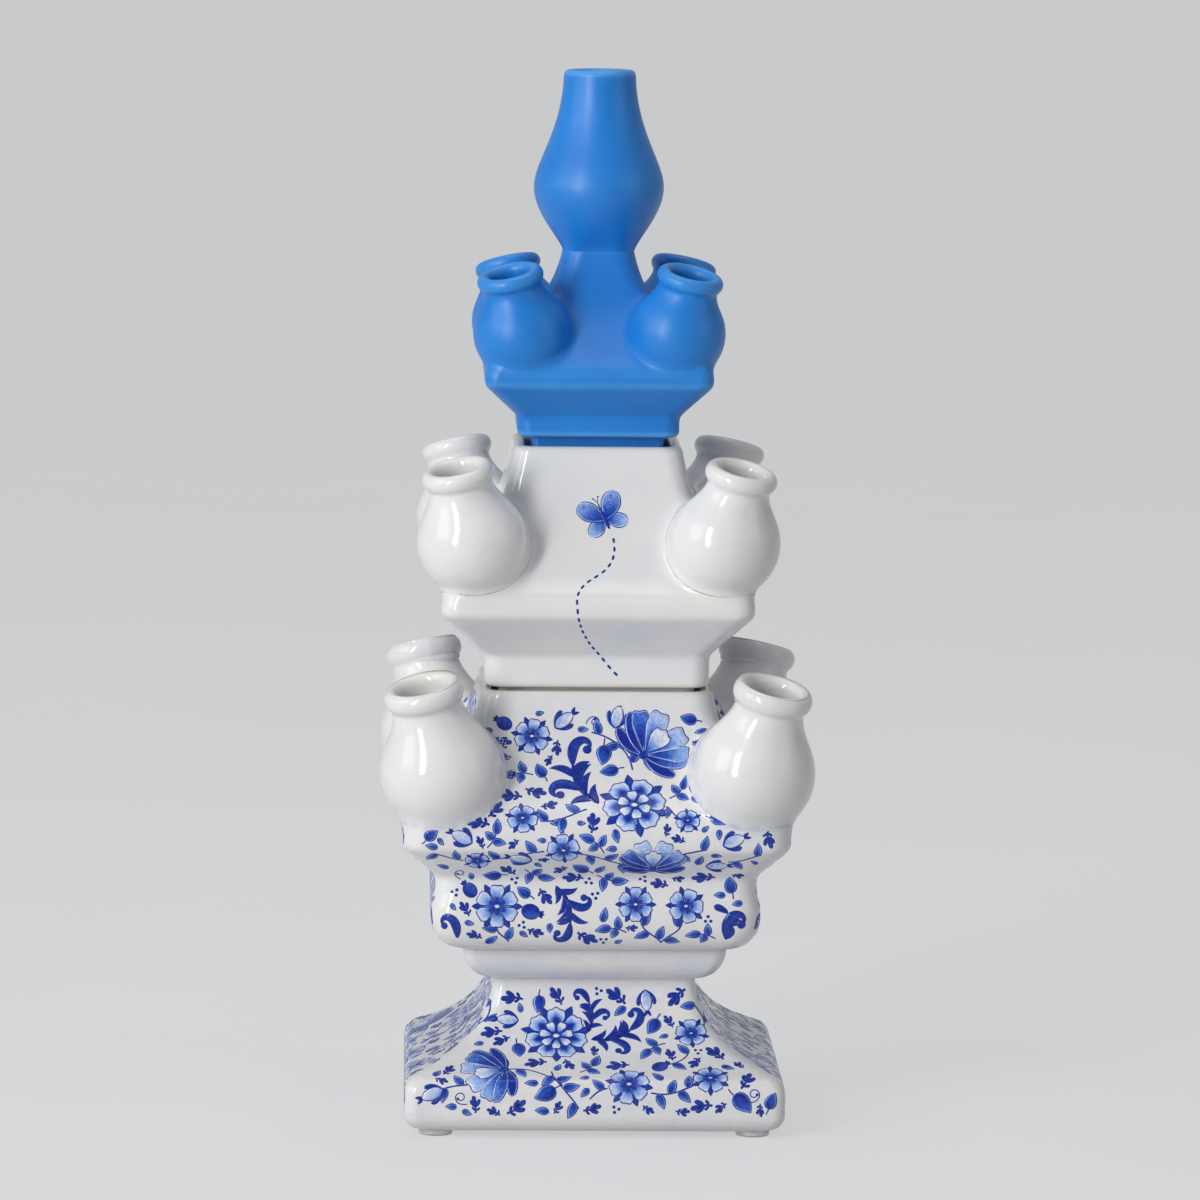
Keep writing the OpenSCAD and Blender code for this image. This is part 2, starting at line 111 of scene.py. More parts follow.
# Outline softened as glaze softens an edge: sampled in small steps, blurred by the bell
# exp(-(x / blur)^2 / 2), then thinned to rows that lie a set length apart and crowd where it turns
def soften(points, blur, apart, turnPerRow=softening["turnPerRow"]):
    p, step = np.asarray(points, float), softening["step"]
    p = p[np.r_[True, np.diff(runOf(p)) > 1e-6]]
    run = runOf(p)
    fine = pointsAt(np.linspace(0, run[-1], int(run[-1] / step) + 2), run, p)
    reach = int(softening["bellReach"] * blur / step)
    bell = np.exp(-0.5 * (np.arange(-reach, reach + 1) * step / blur) ** 2)
    padded = np.vstack([2 * fine[0] - fine[reach:0:-1], fine, 2 * fine[-1] - fine[-2:-reach - 2:-1]])
    soft = np.column_stack([np.convolve(column, bell / bell.sum(), "valid") for column in padded.T])
    dw, dz = np.diff(soft[:, 0]), np.diff(soft[:, 1])
    heading = np.degrees(np.unwrap(np.arctan2(dz, dw)))
    effort = np.hypot(dw, dz) / apart + np.abs(np.r_[0, np.diff(heading)]) / turnPerRow
    rows = np.r_[0, np.cumsum(effort)]
    return pointsAt(np.linspace(0, rows[-1], int(rows[-1]) + 2), rows, soft)


# Places round a square with rounded corners, as factors of the straight half side and of the radius:
# x = sx (w - r) + cx r and y = sy (w - r) + cy r, front side first, then three quarter turns of it
def squareColumns(nSide, nCorner):
    s = np.linspace(-1, 1, nSide + 1)
    a = np.linspace(0, np.pi / 2, nCorner + 1)[1:-1]
    side = np.column_stack([s, -np.ones_like(s), np.zeros_like(s), -np.ones_like(s)])
    corner = np.column_stack([np.ones_like(a), -np.ones_like(a), np.sin(a), -np.cos(a)])
    turned = [np.vstack([side, corner])]
    for _ in range(3):
        sx, sy, cx, cy = turned[-1].T
        turned.append(np.column_stack([-sy, sx, -cy, cx]))
    return np.vstack(turned)


# Rings of an outline, one rounded square to each row: rows by places by xyz
def squareRings(outline, places):
    w, z, r = (outline[:, k][:, None] for k in range(3))
    x = places[:, 0] * (w - r) + places[:, 2] * r
    y = places[:, 1] * (w - r) + places[:, 3] * r
    return np.stack([x, y, np.broadcast_to(z, x.shape)], -1)


# Rings of a turned outline: radius times cosine and sine about the upright axis
def turnedRings(outline, n):
    a = np.linspace(0, 2 * np.pi, n, endpoint=False)
    r, z = outline[:, :1], outline[:, 1:2]
    return np.stack([r * np.cos(a), r * np.sin(a), np.broadcast_to(z, (len(outline), n))], -1)


# Quads of a ring grid that closes on itself, with one face at each end
def ringFaces(rows, n):
    i = np.arange(n)
    j = (i + 1) % n
    k = np.arange(rows - 1)[:, None] * n
    quads = np.stack([k + i, k + j, k + n + j, k + n + i], -1).reshape(-1, 4).tolist()
    return quads + [i[::-1].tolist(), ((rows - 1) * n + i).tolist()]


# Mesh object from points in millimetres and lists of faces, with named values at its points
def makePiece(name, points, faces, material, body, nodes=(), values=None):
    mesh = bpy.data.meshes.new(name)
    mesh.from_pydata((np.asarray(points, float).reshape(-1, 3) * mm).tolist(), [], faces)
    mesh.polygons.foreach_set("use_smooth", np.ones(len(mesh.polygons), bool))
    for key, value in (values or {}).items():
        layer = mesh.attributes.new(key, "FLOAT", "POINT")
        layer.data.foreach_set("value", np.asarray(value, np.float32).ravel())
    mesh.materials.append(material)
    mesh.update()
    piece = bpy.data.objects.new(name, mesh)
    bpy.context.scene.collection.objects.link(piece)
    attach(piece, body)
    if nodes:
        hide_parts(*nodes)
    return piece


# Piece name of a corner, such as lowerNozzleFrontLeft
def cornerName(start, corner):
    return start + "".join(word.capitalize() for word in corner.split("_"))


# sRGB to linear light, channel by channel
def paint(r, g, b):
    c = np.array([r, g, b], float) / 255
    lin = np.where(c <= 0.04045, c / 12.92, ((c + 0.055) / 1.055) ** 2.4)
    return (*lin.tolist(), 1.0)


# One node with its settings and unlinked inputs
def addNode(tree, kind, inputs=None, **settings):
    node = tree.nodes.new(kind)
    for key, value in settings.items():
        setattr(node, key, value)
    for key, value in (inputs or {}).items():
        node.inputs[key].default_value = value
    return node


# Value or link into a socket
def feed(tree, value, socket):
    if isinstance(value, (int, float, tuple)):
        socket.default_value = value
    else:
        tree.links.new(value, socket)


# Empty material with a shader and its output
def startMaterial(name, **sockets):
    material = bpy.data.materials.new(name)
    material.use_nodes = True
    tree = material.node_tree
    tree.nodes.clear()
    shader = addNode(tree, "ShaderNodeBsdfPrincipled", {k.replace("_", " "): v for k, v in sockets.items()})
    out = addNode(tree, "ShaderNodeOutputMaterial")
    tree.links.new(shader.outputs[0], out.inputs[0])
    return material, tree, shader


noiseSpan = (0.3, 0.7)  # part of a noise's range that is spread from low to high


# Noise on Object coordinates, brought to a range
def addNoise(tree, scale, low, high, detail=3.0):
    coord = addNode(tree, "ShaderNodeTexCoord")
    noise = addNode(tree, "ShaderNodeTexNoise", {"Scale": scale, "Detail": detail})
    fit = addNode(tree, "ShaderNodeMapRange", {
        "From Min": noiseSpan[0], "From Max": noiseSpan[1], "To Min": low, "To Max": high})
    tree.links.new(coord.outputs["Object"], noise.inputs["Vector"])
    tree.links.new(noise.outputs["Fac"], fit.inputs["Value"])
    return fit.outputs[0]


# Named value of the mesh at each point
def addValue(tree, name):
    return addNode(tree, "ShaderNodeAttribute", attribute_name=name).outputs["Fac"]


# Two values through one operation, such as a product or a sum
def addMath(tree, operation, a, b, clamp=False):
    node = addNode(tree, "ShaderNodeMath", operation=operation, use_clamp=clamp)
    feed(tree, a, node.inputs[0])
    feed(tree, b, node.inputs[1])
    return node.outputs[0]


# Colour that goes from one to another by a factor
def addMix(tree, factor, a, b):
    node = addNode(tree, "ShaderNodeMix", data_type="RGBA")
    for value, socket in ((factor, 0), (a, 6), (b, 7)):  # sockets of the colour kind of mix
        feed(tree, value, node.inputs[socket])
    return node.outputs[2]


bump = {"fineShare": 0.12, "strength": 0.35}


# Roughness that varies, and the unevenness of a fired surface: broad waves plus a share of a finer skin
def addSurface(tree, shader, d):
    broad, fine, depth = d["skin"]
    finer = addMath(tree, "MULTIPLY", addNoise(tree, fine, 0, 1), bump["fineShare"])
    uneven = addNode(tree, "ShaderNodeBump", {"Strength": bump["strength"], "Distance": depth})
    tree.links.new(addMath(tree, "ADD", addNoise(tree, broad, 0, 1), finer), uneven.inputs["Height"])
    tree.links.new(uneven.outputs[0], shader.inputs["Normal"])
    tree.links.new(addNoise(tree, d["roughScale"], *d["rough"]), shader.inputs["Roughness"])


# White glaze: milky, thinner and warmer on edges, a faint cobalt haze where a print was near
whiteFinish = {
    "milk": paint(231, 229, 226), "pool": paint(222, 223, 224), "edge": paint(226, 220, 212),
    "haze": paint(150, 163, 205), "hazeMost": 0.55, "cloud": 38, "smear": 260, "rough": (0.09, 0.17),
    "roughScale": 90, "skin": (55, 900, 0.00025)}


# Milk to pool by cloudy noise, to the edge's tone by thinness, to the haze by its value times noise
def glazeWhite(name, d):
    material, tree, shader = startMaterial(name, Roughness=0.12, IOR=1.46)
    colour = addMix(tree, addNoise(tree, d["cloud"], 0, 1), d["milk"], d["pool"])
    colour = addMix(tree, addValue(tree, "thin"), colour, d["edge"])
    smear = addMath(tree, "MULTIPLY", addValue(tree, "haze"), addNoise(tree, d["smear"], 0, d["hazeMost"], 4))
    tree.links.new(addMix(tree, smear, colour, d["haze"]), shader.inputs["Base Color"])
    addSurface(tree, shader, d)
    return material


# Blue satin glaze: even cerulean that breaks paler on edges and rims
blueFinish = {
    "body": paint(26, 127, 211), "deep": paint(20, 117, 203), "edge": paint(74, 156, 224), "cloud": 45,
    "wear": (260, 0.75, 1.0), "rough": (0.36, 0.44), "roughScale": 130, "skin": (70, 1500, 0.00018)}


# Body to deep by cloudy noise, then to the edge's tone by thinness times wear
def glazeBlue(name, d):
    material, tree, shader = startMaterial(name, Roughness=0.4, IOR=1.47)
    colour = addMix(tree, addNoise(tree, d["cloud"], 0, 1), d["body"], d["deep"])
    worn = addMath(tree, "MULTIPLY", addValue(tree, "thin"), addNoise(tree, *d["wear"]))
    tree.links.new(addMix(tree, worn, colour, d["edge"]), shader.inputs["Base Color"])
    addSurface(tree, shader, d)
    return material


# Clear soft bumper with a slight milkiness
rubberFinish = {
    "clear": paint(214, 217, 214), "milky": paint(196, 200, 198), "cloud": 300, "rough": (0.22, 0.36),
    "roughScale": 500, "skin": (400, 3000, 0.0001)}


# Clear to milky by cloudy noise
def rubberClear(name, d):
    material, tree, shader = startMaterial(name, Roughness=0.3, IOR=1.45, Transmission_Weight=0.45)
    colour = addMix(tree, addNoise(tree, d["cloud"], 0, 1), d["clear"], d["milky"])
    tree.links.new(colour, shader.inputs["Base Color"])
    addSurface(tree, shader, d)
    return material


# Cobalt under the glaze: tone runs from pale wash to dark, borders are outlined, veins fan from the base
cobaltFinish = {
    "wash": paint(229, 232, 240), "light": paint(134, 170, 230), "mid": paint(36, 88, 190),
    "dark": paint(2, 34, 142), "line": paint(8, 44, 150), "stops": (("light", 0.33), ("mid", 0.68)),
    "lineWidth": 0.42, "margin": 0.5, "veinInk": 0.8, "grain": (800, -0.10, 0.10, 4), "rough": (0.09, 0.17),
    "roughScale": 90, "skin": (55, 900, 0.00025)}


# Tone = (tone + grain) (1 - pale margin), then colours by tone, then lines over them
def cobaltPrint(name, d):
    material, tree, shader = startMaterial(name, Roughness=0.12, IOR=1.46)
    margin = addNode(tree, "ShaderNodeMapRange", {
        "From Min": d["lineWidth"], "From Max": d["lineWidth"] + d["margin"], "To Min": 1.0, "To Max": 0.0})
    tree.links.new(addValue(tree, "edge"), margin.inputs["Value"])
    paled = addMath(tree, "MULTIPLY", addValue(tree, "pale"), margin.outputs[0])
    left = addMath(tree, "SUBTRACT", 1.0, paled)
    tone = addMath(tree, "ADD", addValue(tree, "tone"), addNoise(tree, *d["grain"]), True)
    ramp = addNode(tree, "ShaderNodeValToRGB")
    stops = ramp.color_ramp.elements
    stops[0].color, stops[1].color = d["wash"], d["dark"]
    for key, place in d["stops"]:
        stops.new(place).color = d[key]
    tree.links.new(addMath(tree, "MULTIPLY", tone, left), ramp.inputs[0])
    vein = addMath(
        tree, "LESS_THAN", addMath(tree, "PINGPONG", addValue(tree, "phase"), 0.5), addValue(tree, "vein"))
    border = addMath(tree, "LESS_THAN", addValue(tree, "edge"), d["lineWidth"])
    drawn = addMath(tree, "MAXIMUM", border, addMath(tree, "MULTIPLY", vein, d["veinInk"]))
    tree.links.new(addMix(tree, drawn, ramp.outputs[0], d["line"]), shader.inputs["Base Color"])
    addSurface(tree, shader, d)
    return material


whiteGlaze = glazeWhite("whiteGlaze", whiteFinish)
blueGlaze = glazeBlue("blueGlaze", blueFinish)
clearRubber = rubberClear("clearRubber", rubberFinish)
cobalt = cobaltPrint("cobaltPrint", cobaltFinish)
print("glazes mixed")

# Shared makings of the tiers
make = {
    "wall": 5.0, "rim": 4.8, "floor": 5.0, "plugDepth": 9.0, "plugGap": 2.4, "plugBevel": 1.0, "seatW": 4.0,
    "seatT": 4.0, "underR": 3.6, "edgeH": 1.2, "coveR": 4.0, "baseR": 2.0, "lean": 11.0, "flarePull": 0.36,
    "rimPull": 0.5, "pole": 2.0, "sidePlaces": 60, "cornerPlaces": 12, "rowGap": 1.5, "rimRows": 40,
    "skinBack": 0.5, "insideBack": 2.0}
slant = math.radians(45)
cosSlant, sinSlant = math.cos(slant), math.sin(slant)


# Height of the straight slope under a flange at a half width
def slopeZ(d, w):
    return d["flangeZ"] - make["underR"] * sinSlant - (d["flange"] - make["underR"] * (1 - cosSlant) - w)


# Outer wall of a tier: cove, slope, rounded edge, then the hollow flare up to the shaft's top
def outerWall(d, top):
    f, z, band, over = d["flange"], d["flangeZ"], d["band"], d["overR"]
    foot = np.array([band, slopeZ(d, band)])
    low = foot - [0, make["coveR"]]
    coved = np.vstack([low, bend(low, foot, foot, foot + make["coveR"] * np.array([cosSlant, sinSlant]), 12)])
    edge = np.vstack([
        sweep(f - make["underR"], z, make["underR"], -45, 0),
        sweep(f - over, z + make["edgeH"], over, 0, 45)])
    start = edge[-1]
    rise = top[1] - start[1]
    lean = math.radians(make["lean"])
    flare = bend(
        start, start + make["flarePull"] * rise * np.array([-sinSlant, cosSlant]),
        top + make["rimPull"] * rise * np.array([math.sin(lean), -math.cos(lean)]), top, 48)
    return coved, edge, flare


# Inner wall behind the flare, down to the slope over the band
def innerWall(d, flare, under):
    back = flare[::-1]
    back = back[back[:, 1] < under[1] - (back[:, 0] - make["wall"] - under[0])] - [make["wall"], 0]
    pocket = d["flange"] - make["wall"] - d["overR"] * (1 - cosSlant)
    ends = [[w, slopeZ(d, w) + make["wall"] / cosSlant] for w in (pocket, d["band"] - make["wall"])]
    return np.vstack([back, ends])


# Rounded rim and the seat under it, going in and down, and the top of the shaft's outside
def rimAndSeat(plugHalf, rimZ):
    hole, r = plugHalf + make["plugGap"], make["rim"] / 2
    seatIn, seatZ = plugHalf - make["seatW"], rimZ - make["plugDepth"]
    seat = np.array([[hole, seatZ], [seatIn, seatZ], [seatIn, seatZ - make["seatT"]]])
    return sweep(hole + r, rimZ - r, r, 8, 180, 24), seat, np.array([hole + make["rim"], rimZ - r])


# Gap from points to the outside of a tier: distance to the rounded square there, over root(1 + slope^2)
def wallGap(p, d):
    w = np.interp(p[..., 2], d["skinZ"], d["skinW"])
    slope = np.interp(p[..., 2], d["skinZ"], d["skinSlope"])
    q = np.abs(p[..., :2]) - (w - d["corner"])[..., None]
    out = np.hypot(np.maximum(q[..., 0], 0), np.maximum(q[..., 1], 0))
    return (out + np.minimum(np.maximum(q[..., 0], q[..., 1]), 0) - d["corner"]) / np.sqrt(1 + slope ** 2)


# Nozzles: a pot with a round belly, sloping shoulder, short neck and rolled lip on every corner
lowerPot = {
    "reach": 57.5, "z": 134.6, "belly": 22.7, "stem": 34.7, "neck": 12.8, "lip": 14.9, "lipH": 7.8,
    "mouth": 9.4}
middlePot = {
    "reach": 46.5, "z": 218.4, "belly": 20.5, "stem": 29.6, "neck": 11.7, "lip": 13.6, "lipH": 6.8,
    "mouth": 8.0}
topPot = {
    "reach": 28.7, "z": 294.1, "belly": 17.9, "stem": 24.2, "neck": 10.9, "lip": 12.5, "lipH": 5.8,
    "mouth": 7.4}
potMaking = {
    "wall": 3.4, "tilt": 17.0, "shoulder": 24.0, "blur": 0.8, "rowGap": 1.4, "round": 96, "sink": 2.4,
    "ballRows": 60, "curveRows": 24, "lipRows": 40, "insideRows": 50, "lipFrom": -60, "pole": -89,
    "thinFull": 0.9, "hazeReach": 3.0}
potTilt = math.radians(potMaking["tilt"])


# Pot outline: ball to the shoulder, curve to the neck, elliptic lip, then the inside back down
def potOutline(d):
    m = potMaking
    ray = toward(m["shoulder"])
    tangent = np.array([-ray[1], ray[0]])
    neck, throat = np.array([d["neck"], d["stem"] - d["lipH"]]), np.array([d["mouth"], d["stem"] - d["lipH"]])
    shoulder, entry = d["belly"] * ray, (d["belly"] - m["wall"]) * ray
    swell = np.linalg.norm(neck - shoulder) / 3
    a = np.radians(np.linspace(m["lipFrom"], 180, m["lipRows"]))
    lip = np.column_stack([
        (d["lip"] + d["mouth"]) / 2 + (d["lip"] - d["mouth"]) / 2 * np.cos(a),
        d["stem"] - d["lipH"] / 2 + d["lipH"] / 2 * np.sin(a)])
    ball = sweep(0, 0, d["belly"], m["pole"], m["shoulder"], m["ballRows"])
    slope = bend(shoulder, shoulder + swell * tangent, neck - [0, swell], neck, m["curveRows"])
    inside = np.vstack([
        throat, bend(throat, throat - [0, swell], entry + swell * tangent, entry),
        sweep(0, 0, d["belly"] - m["wall"], m["shoulder"], m["pole"], m["insideRows"])[1:]])
    return ball, slope, lip, inside


# Stores the shoulder of a pot as radius against height along its axis
def keepShoulder(d):
    ball, slope = potOutline(d)[:2]
    line = np.vstack([ball[-1:], slope])
    d["up"], d["wide"], d["slope"] = line[:, 1], line[:, 0], np.gradient(line[:, 0], line[:, 1])


for pot in (lowerPot, middlePot, topPot):
    keepShoulder(pot)


# Gap from points to the nearest nozzle, which leans out on the diagonal of its corner: a ball below the
# shoulder, above it the distance across the axis less the radius there, over the shoulder's slope
def potGap(p, d):
    pot = d["pot"]
    x, y, z = np.abs(p[..., 0]) - pot["reach"], np.abs(p[..., 1]) - pot["reach"], p[..., 2] - pot["z"]
    out, aside = (x + y) * math.sqrt(0.5), (x - y) * math.sqrt(0.5)
    up = out * math.sin(potTilt) + z * math.cos(potTilt)
    across = np.hypot(out * math.cos(potTilt) - z * math.sin(potTilt), aside)
    wide, slope = np.interp(up, pot["up"], pot["wide"]), np.interp(up, pot["up"], pot["slope"])
    cone = (across - wide) / np.sqrt(1 + slope ** 2)
    return np.where(up < pot["up"][0], np.hypot(across, up) - pot["belly"], cone)


# Wall and belly melted together: the lesser gap, less a quarter of the blend times (1 - difference / blend)^2
def meltGap(p, d):
    a, b = wallGap(p, d), potGap(p, d)
    h = np.maximum(d["melt"] - np.abs(a - b), 0) / d["melt"]
    return np.minimum(a, b) - h * h * d["melt"] / 4


# Slope of a gap by small steps along each axis
def gapSlope(gap, p, d, step=0.02):
    moves = np.eye(3) * step
    return np.stack([(gap(p + m, d) - gap(p - m, d)) / (2 * step) for m in moves], -1)


# Melting of a skin: shares of the blend where it ends and begins under the other piece, how far it is let
# down there, and how near a point lies to its own skin
melting = {
    "end": -0.6, "begin": -0.25, "down": 0.05, "bodySkin": 0.3, "potSkin": 0.5, "steps": 5,
    "leastSlope": 0.05}


# Newton steps along the slope that bring points to a level of the melted skin
def meltOnto(p, d, level):
    for _ in range(melting["steps"]):
        g = gapSlope(meltGap, p, d)
        steep = np.maximum((g * g).sum(-1), melting["leastSlope"])
        p = p - ((meltGap(p, d) - level) / steep)[..., None] * g
    return p


# Skin points raised into the fillet by their gap to the other piece, and eased back to where they are held
def meltInto(p, held, gap, onSkin, d):
    end, begin = melting["end"] * d["melt"], melting["begin"] * d["melt"]
    near = onSkin & (gap < d["melt"]) & (gap > end)
    moved = meltOnto(p[near], d, -melting["down"] * np.clip(gap[near] / begin, 0, 1) ** 2)
    held[near] += ease(end, begin, gap[near])[:, None] * (moved - held[near])
    return held


# Points inside a nozzle's hollow are moved straight out from its centre to the hollow's reach and some more
def letBack(p, d, more):
    pot = d["pot"]
    centre = np.column_stack([np.where(p[:, :2] < 0, -pot["reach"], pot["reach"]), np.full(len(p), pot["z"])])
    away = p - centre
    r = np.maximum(np.linalg.norm(away, axis=1), nearly)
    return centre + away * (np.maximum(r, pot["belly"] - potMaking["wall"] + more) / r)[:, None]


# Convex edges of an outline, where glaze runs thin: turn per millimetre over a set amount
def thinness(outline, full):
    d = np.diff(outline[:, :2], axis=0)
    heading = np.unwrap(np.arctan2(d[:, 1], d[:, 0]))
    length = np.hypot(d[:, 0], d[:, 1])
    turn = np.diff(heading) / np.maximum((length[1:] + length[:-1]) / 2, 0.05)
    return np.clip(np.r_[0, turn, 0] / full, 0, 1)


# Corner radius that opens towards the end of a shaft
def openCorner(outline, d):
    grown = ease(d["openFrom"], d["shaft"][1], outline[:, 1])
    outline[:, 2] += grown * np.maximum(d["endCorner"] - outline[:, 2], 0)
    return outline


# Stores the outer wall of a tier as half width against height
def keepSkin(d, outline):
    order = np.argsort(outline[:, 1])
    d["skinZ"], d["skinW"] = outline[order, 1], outline[order, 0]
    d["skinSlope"] = np.gradient(d["skinW"], d["skinZ"])


# Tier: softened outline carried round the square, melted into its nozzles
def makeTier(name, d, outer, inner, material, node, body):
    outline = soften(np.vstack([outer, inner]), d["blur"], make["rowGap"])
    past = np.arange(len(outline)) - np.argmax(outline[:, 1])
    outline = outline[(past < make["rimRows"]) | (past % 2 == 0)]  # every second row is enough inside
    isOuter = np.arange(len(outline)) < np.argmax(outline[:, 1])
    if "endCorner" in d:
        outline[isOuter] = openCorner(outline[isOuter], d)
    onSkin = isOuter & (outline[:, 1] > d["skinStart"])
    keepSkin(d, outline[onSkin])
    places = squareColumns(make["sidePlaces"], make["cornerPlaces"])
    points = squareRings(outline, places).reshape(-1, 3)
    skin = np.repeat(onSkin, len(places))
    p = points[skin]
    p = meltInto(p, p, potGap(p, d), np.abs(wallGap(p, d)) < melting["bodySkin"], d)
    points[skin] = letBack(p, d, make["skinBack"])
    points[~skin] = letBack(points[~skin], d, make["insideBack"])
    thin = np.repeat(thinness(outline, d["thinFull"]), len(places))
    haze = d["hazeOf"](points, d) * skin if "hazeOf" in d else np.zeros(len(points))
    makePiece(name, points, ringFaces(len(outline), len(places)), material, body, [node], {
        "thin": thin, "haze": haze})
    d["outline"] = outline


# Haze near a nozzle on the lower tier, exp(-(gap / reach)^2), and a fainter bleed of cobalt all over it
def hazeByPots(p, d):
    return np.maximum(np.exp(-(np.maximum(potGap(p, d), 0) / d["hazeReach"]) ** 2), d["bleed"])


# Haze on the slope under the flange of the middle tier, a band with soft ends
def hazeUnderFlange(p, d):
    low, full, fade, high = (d["flangeZ"] + step for step in d["hazeBand"])
    return ease(low, full, p[:, 2]) * ease(high, fade, p[:, 2]) * d["hazeMost"]


lower = {
    "flange": 71.2, "flangeZ": 108.59, "band": 59.4, "overR": 15.6, "corner": 9.0, "sole": (50.0, 67.5),
    "soleStart": 5.0, "belt": (60.9, 81.5), "rimZ": 162.59, "nextPlug": 36.2, "blur": 0.7, "melt": 6.5,
    "thinFull": 0.7, "pot": lowerPot, "skinStart": 94.0, "hazeOf": hazeByPots, "hazeReach": 2.5, "bleed": 0.2,
    "potHaze": 1.0}
middle = {
    "flange": 57.7, "flangeZ": 193.08, "band": 41.6, "overR": 8.7, "corner": 7.0, "baseZ": 163.59,
    "plug": 36.2, "plugZ": 153.59, "plugCorner": 4.2, "rimZ": 252.18, "nextPlug": 24.2, "blur": 0.7,
    "melt": 6.0, "thinFull": 0.7, "pot": middlePot, "skinStart": 180.0, "hazeOf": hazeUnderFlange,
    "hazeBand": (-14.0, -7.0, -4.0, -1.5), "hazeMost": 0.13}
top = {
    "flange": 42.2, "flangeZ": 276.67, "band": 30.0, "overR": 7.5, "corner": 5.5, "baseZ": 255.38,
    "plug": 24.2, "plugZ": 243.18, "plugCorner": 2.2, "shaft": (13.2, 322.97), "blur": 0.5, "melt": 3.6,
    "thinFull": 0.5, "pot": topPot, "skinStart": 266.0, "tuck": (0.5, 1.4), "endCorner": 8.0,
    "openFrom": 300.0}


# Corner radius beside each point of an outline, which shrinks to a point near the axis
def withCorner(points, r, most=0.45):
    p = np.asarray(points, float)
    return np.column_stack([p, np.minimum(r, p[:, 0] * most)])


# Lower tier: flat sole, bulged belt, waist, flange and flared shaft with a rounded rim
def makeLower(d):
    sole, belt, floorZ = np.array(d["sole"]), np.array(d["belt"]), d["sole"][1] + make["floor"]
    rim, seat, shaftTop = rimAndSeat(d["nextPlug"], d["rimZ"])
    coved, edge, flare = outerWall(d, shaftTop)
    half = (belt[1] + coved[0][1]) / 2
    outer = np.vstack([
        [[d["soleStart"], sole[1]]], [sole], bend(
            sole, [(sole[0] + 2 * belt[0]) / 3, sole[1]], belt - [0, (belt[1] - sole[1]) / 2], belt),
        bend(belt, [belt[0], half], [coved[0][0], half], coved[0]), coved[1:], edge, flare, rim])
    inner = np.vstack([
        seat, innerWall(d, flare, seat[2]), [
            [d["band"] - make["wall"], belt[1]], [sole[0] - make["wall"], floorZ], [make["pole"], floorZ]]])
    makeTier(
        "lowerBody", d, withCorner(outer, d["corner"]), withCorner(inner, d["corner"] - make["rim"]),
        whiteGlaze, "lower_body", "lower_tier")


# Upper tier: plug, base band, flange and flared shaft, with the floor of its hollow
def pluggedOutline(d, shaftTop):
    p, bz, band, pole, plugZ = d["plug"], d["baseZ"], d["band"], make["pole"], d["plugZ"]
    coved, edge, flare = outerWall(d, shaftTop)
    bevel, wall, floor = make["plugBevel"], make["wall"], make["floor"]
    plug = [[pole, plugZ], [p - bevel, plugZ], [p, plugZ + bevel], [p, bz]]
    base = sweep(band - make["baseR"], bz + make["baseR"], make["baseR"], -90, 0)
    bottom = [
        [band - wall, bz + floor], [p - wall, bz + floor], [p - wall, plugZ + floor], [pole, plugZ + floor]]
    return withCorner(plug, d["plugCorner"]), np.vstack([base, coved, edge, flare]), flare, np.array(bottom)


# Middle tier: upper tier that ends in a rim with a seat for the next plug
def makeMiddle(d):
    rim, seat, shaftTop = rimAndSeat(d["nextPlug"], d["rimZ"])
    plug, outer, flare, bottom = pluggedOutline(d, shaftTop)
    inner = np.vstack([seat, innerWall(d, flare, seat[2]), bottom])
    makeTier(
        "middleBody", d, np.vstack([plug, withCorner(np.vstack([outer, rim]), d["corner"])]),
        withCorner(inner, d["corner"] - make["rim"]), whiteGlaze, "middle_body", "middle_tier")


# Top tier: the shaft's end is tucked into the bulb's wall, so that no groove shows between them
def makeTop(d):
    (half, end), (inset, up) = d["shaft"], d["tuck"]
    plug, outer, flare, bottom = pluggedOutline(d, np.array(d["shaft"]))
    outer = np.vstack([outer, [[half - inset, end + up]]])
    inner = np.vstack([[[half - make["wall"], end + up]], innerWall(d, flare, d["shaft"]), bottom])
    makeTier(
        "topBody", d, np.vstack([plug, withCorner(outer, d["corner"])]),
        withCorner(inner, d["corner"] - make["wall"] / 2), blueGlaze, "top_body", "top_tier")


makeLower(lower)
makeMiddle(middle)
makeTop(top)
print("tiers lofted")

# Foot: hollow from below, slab with rounded edge, hollow sweep to the neck and a cushion band
foot = {
    "edge": 70.2, "z": 2.1, "underR": 6.5, "slabTop": 16.2, "overR": 7.0, "overTurn": 67.5,
    "neck": (37.7, 54.8), "cap": (48.8, 67.5), "wall": 7.0, "ring": 48.7, "corner": 5.0, "outPull": 0.73,
    "upPull": 0.39, "sweepH": 37.0, "blur": 0.6, "rowGap": 2.0, "riseRows": 40, "capRows": 20,
    "sidePlaces": 48, "thinFull": 0.7, "bleed": 0.2}


